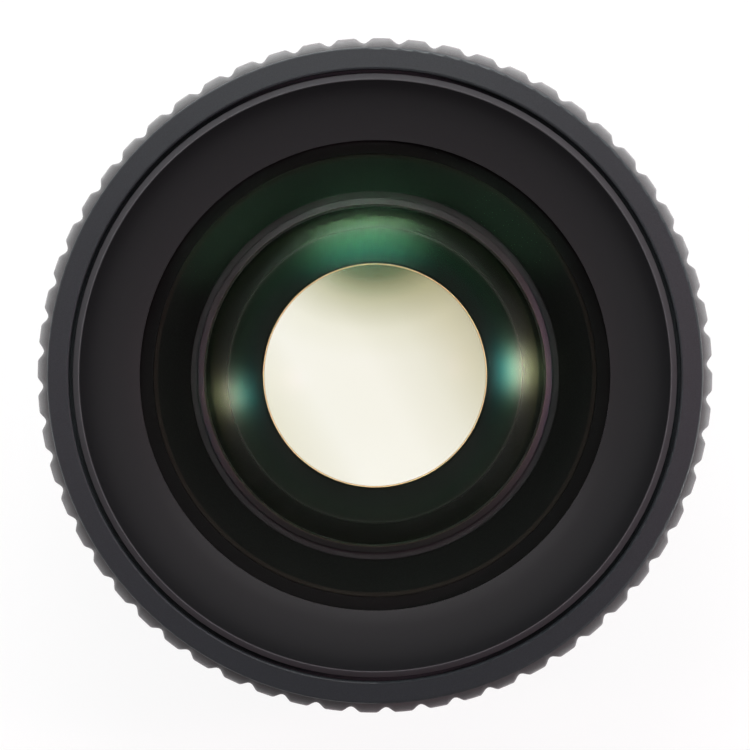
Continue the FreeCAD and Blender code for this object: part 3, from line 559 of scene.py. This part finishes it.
SECOND_EDGE = 16.35
SECOND_WALL = 3.468
second_low, second_high = ends("second_element")
SECOND_RADIUS = outer_radius("second_element")
SECOND_LAND = second_low + SECOND_WALL
second_curve = dome_radius(SECOND_EDGE, second_high - SECOND_LAND)
second_outline = (
    [(0, second_low), (SECOND_RADIUS, second_low), (SECOND_RADIUS, SECOND_LAND),
     (SECOND_EDGE, SECOND_LAND)]
    + arc_points((SECOND_EDGE, SECOND_LAND), (0, second_high), second_curve, 40)
    + [(0, second_high)]
)
second_lens = spin_piece("second_lens", second_outline, "optical_block", second_glass,
                         ["second_element"])
print(f"front sphere {front_curve:.2f} mm, second sphere {second_curve:.2f} mm")
print("lens faces:", len(front_lens.data.polygons), len(second_lens.data.polygons))


# %% [markdown]
# ### The retaining ring and the edge of the stop
# The ring that holds the second element is the thin grey circle in the photograph, bright on the
# far side and nearly black on the near one. A flat ring couldn't do that: its face falls outwards
# by about eleven degrees, so the far side turns to the lamps. The stop's bevel shows as a fine
# golden line, where the anodising has worn at the edge.

# %% Spin the retaining ring and the stop's edge
ring_low, ring_high = ends("second_retainer")
RING_OUTER = outer_radius("second_retainer")
RING_GAP = 0.05
FACE_INNER = SECOND_EDGE + 0.25
FACE_OUTER = FACE_INNER + 0.6
FACE_FALL = 0.12
FACE_BEVEL = 0.03
SHOULDER_DROP = 0.5
spin_piece("retaining_ring", [
    (SECOND_EDGE + RING_GAP, ring_low),
    (RING_OUTER, ring_low),
    (RING_OUTER, ring_high - SHOULDER_DROP),
    (FACE_OUTER, ring_high - SHOULDER_DROP),
    (FACE_OUTER, ring_high - FACE_FALL - FACE_BEVEL),
    (FACE_OUTER - FACE_BEVEL, ring_high - FACE_FALL),
    (FACE_INNER, ring_high),
    (FACE_INNER - 0.06, ring_high - 0.08),
], "optical_block", retainer_grey, ["second_retainer"])

stop_low, stop_high = ends("stop_plate")
STOP_RADIUS = 10.96
EDGE_START = stop_low + 0.2
EDGE_LIP = stop_high + 0.01
spin_piece("stop_edge", [
    (STOP_RADIUS - 0.09, EDGE_START),
    (STOP_RADIUS - 0.02, EDGE_LIP),
    (STOP_RADIUS + 0.03, EDGE_LIP),
    (STOP_RADIUS + 0.03, stop_high - 0.05),
    (STOP_RADIUS - 0.04, EDGE_START),
], "optical_block", edge_gold)
print(f"retaining ring face {FACE_INNER:.2f} to {FACE_OUTER:.2f} mm, stop {STOP_RADIUS} mm")


# %% [markdown]
# ### The rubber grip
# Each rib has a flat land, sloping flanks and a round valley, and the mould rounds every edge. The
# piece is a grid wrapped round the lens: the radius of a point is the rib's section at its angle,
# pulled in towards both ends where the mould is rounded.

# %% Mould the grip
RIBS = 60
RIB_LEAD = math.radians(1.9)
PITCH = 2 * math.pi / RIBS
GRIP_BORE = 30.22
VALLEY_DEPTH = 0.55
VALLEY_SHARE = 0.285
VALLEY_ROUND = 0.85
FRONT_ROUND = 1.3
BACK_ROUND = 0.3
SHARES = [0, 0.06, 0.12, 0.17, 0.22, 0.26, 0.29, 0.32, 0.5,
          0.68, 0.71, 0.74, 0.78, 0.83, 0.88, 0.94]


def rib_depth(share):
    """How deep the flute is at a share of the pitch, from its middle, 0 to 0.5, in mm."""
    if share >= VALLEY_SHARE:
        return 0.0
    return VALLEY_DEPTH * (0.5 + 0.5 * math.cos(math.pi * share / VALLEY_SHARE)) ** VALLEY_ROUND


def end_pull(height):
    """How far the mould's rounded ends draw the ribs in at a height, in mm."""
    pull = 0.0
    if height > GRIP_TOP - FRONT_ROUND:
        rise = height - (GRIP_TOP - FRONT_ROUND)
        pull = FRONT_ROUND - math.sqrt(max(FRONT_ROUND ** 2 - rise ** 2, 0))
    if height < GRIP_BASE + BACK_ROUND:
        drop = GRIP_BASE + BACK_ROUND - height
        pull = BACK_ROUND - math.sqrt(max(BACK_ROUND ** 2 - drop ** 2, 0))
    return pull


def grip_radius(share, height):
    """Radius of the grip at a share of the pitch. Towards the ends the flutes die away."""
    depth = rib_depth(min(share, 1 - share))
    pull = end_pull(height)
    if pull > 0:
        return CREST_RADIUS - max(depth, pull, 0.75 * pull + 0.55 * depth)
    return CREST_RADIUS - depth


def make_grip():
    """Grid of rib sections from the back end to the front end, closed over the bore."""
    straight = GRIP_TOP - FRONT_ROUND - BACK_ROUND - GRIP_BASE
    heights = [GRIP_BASE, GRIP_BASE + BACK_ROUND / 3, GRIP_BASE + BACK_ROUND]
    heights += [GRIP_BASE + BACK_ROUND + straight * step / 6 for step in range(1, 7)]
    heights += [GRIP_TOP - FRONT_ROUND * (1 - math.sin(math.pi / 2 * step / 9))
                for step in range(1, 10)]
    places = [(share, RIB_LEAD + (rib + share) * PITCH) for rib in range(RIBS) for share in SHARES]
    mesh = bpy.data.meshes.new("ribbed_grip")
    shape = bmesh.new()
    rows = [[shape.verts.new(on_circle(grip_radius(share, height), turn, height))
             for share, turn in places] for height in heights]
    rows += [[shape.verts.new(on_circle(GRIP_BORE, turn, height)) for share, turn in places]
             for height in (GRIP_TOP, GRIP_BASE)]
    around = len(places)
    for lower, upper in zip(rows, rows[1:] + rows[:1]):
        for step in range(around):
            after = (step + 1) % around
            shape.faces.new((lower[step], lower[after], upper[after], upper[step]))
    bmesh.ops.recalc_face_normals(shape, faces=shape.faces)
    for face in shape.faces:
        face.smooth = True
    for edge in shape.edges:
        if edge.calc_face_angle(0) > math.radians(50):
            edge.smooth = False
    shape.to_mesh(mesh)
    shape.free()
    piece = bpy.data.objects.new("ribbed_grip", mesh)
    bpy.context.scene.collection.objects.link(piece)
    mesh.materials.append(rubber_black)
    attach(piece, "focusing_ring")
    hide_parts("rubber_grip")
    return piece


grip = make_grip()
print("grip faces:", len(grip.data.polygons))


# %% [markdown]
# ### The mount's screws
# Four countersunk screws hold the mount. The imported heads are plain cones, so here each gets the
# cross recess that the driver turns: a small cross cut into the flat, its walls drawn in towards
# the bottom.

# %% Cut the screws
SCREW_CIRCLE = 28.2
HEAD_RADIUS = 1.4
SHANK_RADIUS = 0.85
HEAD_HEIGHT = 0.9
CROSS_DEPTH = 0.55
CROSS_MOUTH = (0.85, 0.17)
CROSS_BOTTOM = (0.5, 0.10)
screw_low, screw_high = ends("mount_screws")


def cross_points(reach, half_width):
    """Corners of a plain cross, anticlockwise."""
    points = []
    for quarter in range(4):
        turn = math.pi / 2 * quarter
        for x, y in ((reach, -half_width), (reach, half_width), (half_width, half_width)):
            points.append((x * math.cos(turn) - y * math.sin(turn),
                           x * math.sin(turn) + y * math.cos(turn)))
    return points


def make_screws():
    """Four screws with a cross recess in the head."""
    shape = bmesh.new()
    for number in range(4):
        out = math.radians(45 + 90 * number)
        middle = Vector((SCREW_CIRCLE * math.cos(out), SCREW_CIRCLE * math.sin(out)))
        lean = math.radians(17 + 31 * number)

        def loop(points, height):
            return [shape.verts.new(((middle.x + x * math.cos(lean) - y * math.sin(lean)) * MM,
                                     (middle.y + x * math.sin(lean) + y * math.cos(lean)) * MM,
                                     height * MM)) for x, y in points]

        def circle(radius, count=48):
            turns = [2 * math.pi * step / count for step in range(count)]
            return [(radius * math.cos(turn), radius * math.sin(turn)) for turn in turns]

        def wall(lower, upper):
            for step in range(len(lower)):
                after = (step + 1) % len(lower)
                shape.faces.new((lower[step], lower[after], upper[after], upper[step]))

        rim = loop(circle(HEAD_RADIUS - 0.06), screw_low)
        edge = loop(circle(HEAD_RADIUS), screw_low + 0.05)
        neck = loop(circle(SHANK_RADIUS), screw_low + HEAD_HEIGHT)
        tip = loop(circle(SHANK_RADIUS), screw_high)
        for lower, upper in ((rim, edge), (edge, neck), (neck, tip)):
            wall(lower, upper)
        shape.faces.new(tip)
        mouth = loop(cross_points(*CROSS_MOUTH), screw_low)
        bottom = loop(cross_points(*CROSS_BOTTOM), screw_low + CROSS_DEPTH)
        wall(mouth, bottom)
        shape.faces.new(bottom)
        border = [shape.edges.get((ring[step], ring[(step + 1) % len(ring)]))
                  for ring in (rim, mouth) for step in range(len(ring))]
        bmesh.ops.triangle_fill(shape, edges=border, use_beauty=True)
    bmesh.ops.recalc_face_normals(shape, faces=shape.faces)
    for face in shape.faces:
        face.smooth = len(face.verts) == 4 and face.calc_area() < 1e-6
    for edge in shape.edges:
        if edge.calc_face_angle(0) > math.radians(30):
            edge.smooth = False
    mesh = bpy.data.meshes.new("cross_screws")
    shape.to_mesh(mesh)
    shape.free()
    piece = bpy.data.objects.new("cross_screws", mesh)
    bpy.context.scene.collection.objects.link(piece)
    mesh.materials.append(screw_steel)
    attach(piece, "fixed_barrel")
    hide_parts("mount_screws")
    return piece


print("screw faces:", len(make_screws().data.polygons))


# %% [markdown]
# ### Scales
# A lens of this kind is read from the side: distances in metres on the focusing ring, stop numbers
# on the aperture ring, and an index line between them. The figures are plain numbers. Each is laid
# out flat as text, turned to a mesh, and wrapped round the ring a hair above its surface, as a thin
# coat of paint would lie.

# %% Paint for the scales
paint_white = solid_finish("paint_white", (0.62, 0.62, 0.60), (0.80, 0.80, 0.78), (0.45, 0.6), 0.15,
                           bump_mm=0.003)
paint_orange = solid_finish("paint_orange", (0.60, 0.20, 0.03), (0.72, 0.27, 0.05), (0.45, 0.6),
                            0.15, bump_mm=0.003)
FIGURE_SIZE = 2.1
PAINT_LIFT = 0.015
INDEX_TURN = 90.0


def flat_figure(words, size):
    """Triangles of a plain number as points in millimetres, centred on its middle."""
    curve = bpy.data.curves.new("figure", "FONT")
    curve.body = words
    curve.size = size
    curve.align_x = "CENTER"
    curve.align_y = "CENTER"
    curve.resolution_u = 6
    holder = bpy.data.objects.new("figure", curve)
    bpy.context.scene.collection.objects.link(holder)
    bpy.context.view_layer.update()
    solved = holder.evaluated_get(bpy.context.evaluated_depsgraph_get())
    mesh = bpy.data.meshes.new_from_object(solved)
    bpy.data.objects.remove(holder)
    points = [(vertex.co.x, vertex.co.y) for vertex in mesh.vertices]
    faces = [tuple(face.vertices) for face in mesh.polygons]
    bpy.data.meshes.remove(mesh)
    return points, faces


def bar(width, height):
    """Upright bar, narrow enough to lie on the ring without a bend."""
    return [(-width / 2, -height / 2), (width / 2, -height / 2), (width / 2, height / 2),
            (-width / 2, height / 2)], [(0, 1, 2, 3)]


def endless_sign(size):
    """The sign for infinity, as two thin rings side by side."""
    points, faces = [], []
    for side in (-1, 1):
        start = len(points)
        for step in range(24):
            turn = 2 * math.pi * step / 24
            for radius in (size * 0.5, size * 0.34):
                points.append((side * size * 0.42 + radius * math.cos(turn),
                               radius * math.sin(turn)))
        for step in range(24):
            a, b = start + 2 * step, start + 2 * ((step + 1) % 24)
            faces.append((a, b, b + 1, a + 1))
    return points, faces


def painted(name, marks, radius, body, finish):
    """Marks wrapped round a ring. Each is (points and faces, angle in degrees, height in mm)."""
    points, faces = [], []
    for (flat, sides), angle, height in marks:
        start = len(points)
        for x, y in flat:
            turn = math.radians(angle) + x / radius
            points.append(on_circle(radius + PAINT_LIFT, turn, height + y))
        faces += [tuple(start + corner for corner in side) for side in sides]
    mesh = bpy.data.meshes.new(name)
    mesh.from_pydata(points, [], faces)
    mesh.update()
    piece = bpy.data.objects.new(name, mesh)
    bpy.context.scene.collection.objects.link(piece)
    mesh.materials.append(finish)
    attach(piece, body)


print("paint is", PAINT_LIFT, "mm above the metal")


# %% [markdown]
# The distances stand where the ring has turned by that share of its whole turn: near distances
# take most of it, so the figures crowd together towards the far end. Each stop takes an equal
# step. On the fixed ring, bars in pairs beside the orange index show how deep the sharp zone is.

# %% Distance scale, stop scale and index
sleeve_low = ends("focus_sleeve")[0]
stop_ring_high = ends("aperture_ring")[1]
index_low, index_high = ends("index_ring")
BAND_RADIUS = outer_radius("index_ring")
SLEEVE_BAND_RADIUS = BAND_RADIUS + 0.3
FOCUS_THROW = 100.0
STOP_THROW = 40.0
distance_level = sleeve_low + 1.75
stop_level = stop_ring_high - 2.0
distances = [("5", 0.10), ("3", 0.17), ("2", 0.256), ("1.5", 0.345), ("1", 0.526), ("0.7", 0.77),
             ("0.55", 1.0)]
distance_marks = [(flat_figure(words, FIGURE_SIZE), INDEX_TURN - FOCUS_THROW * share,
                   distance_level) for words, share in distances]
distance_marks.append((endless_sign(1.3), INDEX_TURN, distance_level))
painted("distance_scale", distance_marks, SLEEVE_BAND_RADIUS, "focusing_ring", paint_white)

stops = ["2", "2.8", "4", "5.6", "8", "11", "16"]
stop_step = STOP_THROW / (len(stops) - 1)
stop_marks = [(flat_figure(words, FIGURE_SIZE), INDEX_TURN - stop_step * number, stop_level)
              for number, words in enumerate(stops)]
painted("stop_scale", stop_marks, BAND_RADIUS, "stop_ring", paint_white)

index_level = (index_low + index_high) / 2
index_marks = [(bar(0.35, index_high - index_low - 0.5), INDEX_TURN, index_level)]
painted("index_line", index_marks, BAND_RADIUS, "fixed_barrel", paint_orange)
depth_marks = [(bar(0.2, 1.1), INDEX_TURN + side * spread_deg, index_high - 0.85)
               for spread_deg in (4.0, 8.5, 14.0) for side in (-1, 1)]
painted("depth_marks", depth_marks, BAND_RADIUS, "fixed_barrel", paint_white)
print("figures:", len(distance_marks) + len(stop_marks))


# %% [markdown]
# ## Studio
# The lens stands on a pale floor under a light tent. The shader asks what kind of ray has arrived:
# the camera, glass and metal see white, and for all other light the floor is plain paper. A little
# of the paper shows to the camera too, so the lens keeps a soft shadow.

# %% Floor
def make_floor():
    """Large pale disc under the lens."""
    mesh = bpy.data.meshes.new("studio_floor")
    shape = bmesh.new()
    bmesh.ops.create_circle(shape, cap_ends=True, segments=96, radius=1.5)
    shape.to_mesh(mesh)
    shape.free()
    floor = bpy.data.objects.new("studio_floor", mesh)
    bpy.context.scene.collection.objects.link(floor)
    return floor


def seen_directly(tree):
    """1 for camera, glossy and transmission rays, 0 for the rays that only carry light."""
    rays = tree.nodes.new("ShaderNodeLightPath")
    share = rays.outputs["Is Camera Ray"]
    for kind in ("Is Glossy Ray", "Is Transmission Ray"):
        larger = tree.nodes.new("ShaderNodeMath")
        larger.operation = "MAXIMUM"
        tree.links.new(share, larger.inputs[0])
        tree.links.new(rays.outputs[kind], larger.inputs[1])
        share = larger.outputs["Value"]
    return share


def floor_point(tree, offset, scale):
    """Floor position in millimetres, shifted and then stretched."""
    place = tree.nodes.new("ShaderNodeTexCoord")
    moved = tree.nodes.new("ShaderNodeVectorMath")
    moved.operation = "MULTIPLY_ADD"
    moved.inputs[1].default_value = tuple(factor / MM for factor in scale)
    moved.inputs[2].default_value = tuple(-shift * factor for shift, factor in zip(offset, scale))
    tree.links.new(place.outputs["Object"], moved.inputs[0])
    return moved.outputs["Vector"]


FLOOR_WHITE = 0.86
floor = make_floor()
floor_pale, tree, output = new_finish("floor_pale")
paper = tree.nodes.new("ShaderNodeBsdfDiffuse")
paper.inputs["Color"].default_value = (FLOOR_WHITE, FLOOR_WHITE, FLOOR_WHITE, 1)
print("floor radius 1.5 m")


# %% [markdown]
# Through the stop the camera sees the small patch of floor under the lens. In the photograph that
# light is creamy, warmer to the right, and dies away in an olive shade at the far edge. Two smooth
# gradients on that patch give the same, and they stay hidden from every other side.

# %% Light under the lens
# Painted light and shade: the glowing patch is creamy, warmer to the right, olive at the far edge.
shade_length = tree.nodes.new("ShaderNodeVectorMath")
shade_length.operation = "LENGTH"
tree.links.new(floor_point(tree, (-0.3, 13.5, 0), (1 / 8, 1 / 6, 0)), shade_length.inputs[0])
painted_olive_shade = ramp_of(tree, shade_length.outputs["Value"], 0, 2, [
    (0.30, (0.070, 0.095, 0.050)),
    (0.57, (0.185, 0.205, 0.120)),
    (0.72, (0.350, 0.360, 0.235)),
    (1.00, (0.640, 0.630, 0.480)),
    (1.50, (0.930, 0.915, 0.830)),
    (2.00, (1.0, 0.985, 0.94)),
])
warm_dot = tree.nodes.new("ShaderNodeVectorMath")
warm_dot.operation = "DOT_PRODUCT"
warm_dot.inputs[1].default_value = (1, 1, 0)
tree.links.new(floor_point(tree, (0, 0, 0), (0.80 / 11.4, 0.45 / 11.4, 0)), warm_dot.inputs[0])
painted_warm_side = ramp_of(tree, warm_dot.outputs["Value"], -1, 1, [
    (-0.95, (0.82, 0.81, 0.72)),
    (-0.5, (0.95, 0.95, 0.94)),
    (0.0, (0.95, 0.945, 0.93)),
    (0.4, (0.85, 0.84, 0.78)),
    (0.75, (0.69, 0.66, 0.54)),
    (0.95, (0.56, 0.53, 0.41)),
])
PATCH = (16, 18)
under_lens = spread(tree, axis_distance(tree), 1.0, 0.0, *PATCH)
floor_colour = tree.nodes.new("ShaderNodeMix")
floor_colour.data_type = "RGBA"
floor_colour.inputs[6].default_value = (1, 1, 1, 1)
tree.links.new(under_lens, floor_colour.inputs["Factor"])
tree.links.new(multiplied(tree, painted_olive_shade, painted_warm_side), floor_colour.inputs[7])
glow = tree.nodes.new("ShaderNodeEmission")
tree.links.new(floor_colour.outputs[2], glow.inputs["Color"])
open_share = spread(tree, axis_distance(tree), 1.0, 0.88, *PATCH)
share = tree.nodes.new("ShaderNodeMath")
share.operation = "MULTIPLY"
tree.links.new(seen_directly(tree), share.inputs[0])
tree.links.new(open_share, share.inputs[1])
both = tree.nodes.new("ShaderNodeMixShader")
tree.links.new(share.outputs["Value"], both.inputs["Fac"])
tree.links.new(paper.outputs["BSDF"], both.inputs[1])
tree.links.new(glow.outputs["Emission"], both.inputs[2])
tree.links.new(both.outputs["Shader"], output.inputs["Surface"])
floor.data.materials.append(floor_pale)
print("light under the lens out to", PATCH[1], "mm")


# %% [markdown]
# The air round the lens is dim overhead and pale near the horizon, like a light tent with an open
# top. The dished ring and the rubber take their even tone from that pale band.

# %% World
world = bpy.data.worlds.new("studio_air")
bpy.context.scene.world = world
world.use_nodes = True
air_tree = world.node_tree
air = air_tree.nodes["Background"]
way = air_tree.nodes.new("ShaderNodeTexCoord")
height = air_tree.nodes.new("ShaderNodeSeparateXYZ")
air_tree.links.new(way.outputs["Generated"], height.inputs["Vector"])
lighting = ramp_of(air_tree, height.outputs["Z"], 0, 1, [
    (0.0, (0.55, 0.55, 0.56)),
    (0.55, (0.50, 0.50, 0.51)),
    (0.75, (0.17, 0.17, 0.175)),
    (1.0, (0.15, 0.15, 0.155)),
])
backdrop = ramp_of(air_tree, height.outputs["Z"], 0, 1, [
    (0.0, (0.93, 0.93, 0.935)),
    (0.45, (0.90, 0.90, 0.905)),
    (0.72, (0.20, 0.20, 0.205)),
    (1.0, (0.15, 0.15, 0.155)),
])
tent = air_tree.nodes.new("ShaderNodeMix")
tent.data_type = "RGBA"
air_tree.links.new(seen_directly(air_tree), tent.inputs["Factor"])
air_tree.links.new(lighting, tent.inputs[6])
air_tree.links.new(backdrop, tent.inputs[7])
air_tree.links.new(tent.outputs[2], air.inputs["Color"])
print("tent lit from the horizon up")


# %% [markdown]
# Soft boxes do what the tent can't. The curved glass is a small round mirror: a lamp's angle from
# the axis decides at which radius its reflection stands, and its azimuth on which side. One box on
# the far side draws the green arc above the stop, and three wide ones further out light the front
# glass and the crest of the name ring. A small bright box on the right makes the bright patch, and
# a fainter one on the left its answer. Their colour runs from teal over pink to brown, and the
# green coat turns that into teal, near white and olive. Low boxes round the far half stand below
# the rim and graze the rubber ribs, as the bright table does in the photograph. The boxes fade
# towards their edges, since a hard edge would show in the glass.

# %% Soft boxes
def soft_box(name, azimuth, off_axis, distance, width, height, radiance, aim=50.0,
             fade=(0.1, 0.1), colours=None):
    """Rectangular lamp that faces a point on the axis. Angles in degrees, sizes in metres. Fade is
    the share of each side over which the light dies away, and colours are stops from its inner
    edge to its outer one."""
    out = math.radians(azimuth)
    tilt = math.radians(off_axis)
    target = Vector((0, 0, aim * MM))
    towards = Vector((math.cos(out) * math.sin(tilt), math.sin(out) * math.sin(tilt),
                      math.cos(tilt)))
    lamp = bpy.data.lights.new(name, "AREA")
    lamp.shape = "RECTANGLE"
    lamp.size = width
    lamp.size_y = height
    lamp.energy = radiance * math.pi * width * height
    lamp.use_nodes = True
    tree = lamp.node_tree
    glow = tree.nodes["Emission"]
    place = tree.nodes.new("ShaderNodeNewGeometry")
    sides = tree.nodes.new("ShaderNodeSeparateXYZ")
    tree.links.new(place.outputs["Parametric"], sides.inputs[0])
    falls = []
    for axis, share in zip("XY", fade):
        from_edge = tree.nodes.new("ShaderNodeMath")
        from_edge.operation = "PINGPONG"
        from_edge.inputs[1].default_value = 0.5
        tree.links.new(sides.outputs[axis], from_edge.inputs[0])
        fall = tree.nodes.new("ShaderNodeMapRange")
        fall.interpolation_type = "SMOOTHSTEP"
        fall.inputs["From Min"].default_value = 0.0
        fall.inputs["From Max"].default_value = share / 2
        tree.links.new(from_edge.outputs[0], fall.inputs["Value"])
        falls.append(fall.outputs["Result"])
    both = tree.nodes.new("ShaderNodeMath")
    both.operation = "MULTIPLY"
    tree.links.new(falls[0], both.inputs[0])
    tree.links.new(falls[1], both.inputs[1])
    tree.links.new(both.outputs[0], glow.inputs["Strength"])
    if colours:
        outwards = tree.nodes.new("ShaderNodeMath")
        outwards.operation = "SUBTRACT"
        outwards.inputs[0].default_value = 1.0
        tree.links.new(sides.outputs["Y"], outwards.inputs[1])
        tree.links.new(ramp_of(tree, outwards.outputs[0], 0, 1, colours), glow.inputs["Color"])
    holder = bpy.data.objects.new(name, lamp)
    holder.location = target + towards * distance
    across = Vector((-math.sin(out), math.cos(out), 0))
    holder.matrix_world = Matrix.Translation(holder.location) @ Matrix((
        across, towards.cross(across), towards)).transposed().to_4x4()
    bpy.context.scene.collection.objects.link(holder)


BOX_AWAY = 0.5
WIDE_BOXES = ((51, 41.0, 0.10), (92, 38.5, 0.13), (133, 41.0, 0.10))
soft_box("box_far", 95, 29.4, BOX_AWAY, 0.29, 0.16, 14.0, fade=(1.0, 0.4))
for number, (azimuth, off_axis, height) in enumerate(WIDE_BOXES):
    soft_box(f"box_far_{number + 1}", azimuth, off_axis, BOX_AWAY, 0.30, height, 12.0,
             fade=(0.6, 0.6))
SIDE_COLOURS = [
    (0.1, (0.0, 0.0, 0.0)),
    (0.25, (0.0, 0.25, 0.35)),
    (0.5, (1.0, 0.3, 0.5)),
    (0.7, (0.45, 0.3, 0.25)),
    (0.85, (0.35, 0.2, 0.1)),
    (0.95, (0.0, 0.0, 0.0)),
]
for name, azimuth, width, radiance in (("box_right", 2, 0.10, 190.0),
                                       ("box_left", 188, 0.08, 110.0)):
    soft_box(name, azimuth, 30.35, BOX_AWAY, width, 0.08, radiance, fade=(1.0, 0.05),
             colours=SIDE_COLOURS)

LOW_AWAY = 0.30
LOW_HEIGHT = 0.038
LOW_AIM = 21
for name, azimuth, width, radiance in (("low_far", 93, 0.34, 52.0), ("low_right", 3, 0.17, 62.0),
                                       ("low_left", 183, 0.17, 38.0)):
    soft_box(name, azimuth, 90, LOW_AWAY, width, LOW_HEIGHT, radiance, aim=LOW_AIM)
print("lamps:", [lamp.name for lamp in bpy.data.lights])


# %% [markdown]
# ## Camera
# The photograph looks straight down the optical axis from about ten lens widths away. The focal
# length is the one at which a millimetre in the plane of the rim is as many pixels as there.

# %% Camera
PHOTO_WIDTH = 750
RIM_PIXEL_MM = 0.09495
CAMERA_AWAY = 700.0
SENSOR_MM = 36.0
ASIDE = 0.03
eye = bpy.data.cameras.new("front_view")
eye.sensor_width = SENSOR_MM
eye.lens = SENSOR_MM * CAMERA_AWAY / (RIM_PIXEL_MM * PHOTO_WIDTH)
eye.clip_start = 0.01
eye.clip_end = 10
camera = bpy.data.objects.new("front_view", eye)
camera.location = (0, ASIDE * MM, (RIM_TOP + CAMERA_AWAY) * MM)
bpy.context.scene.collection.objects.link(camera)
bpy.context.scene.camera = camera
bpy.context.scene.view_settings.view_transform = "Standard"
print(f"focal length {eye.lens:.1f} mm")
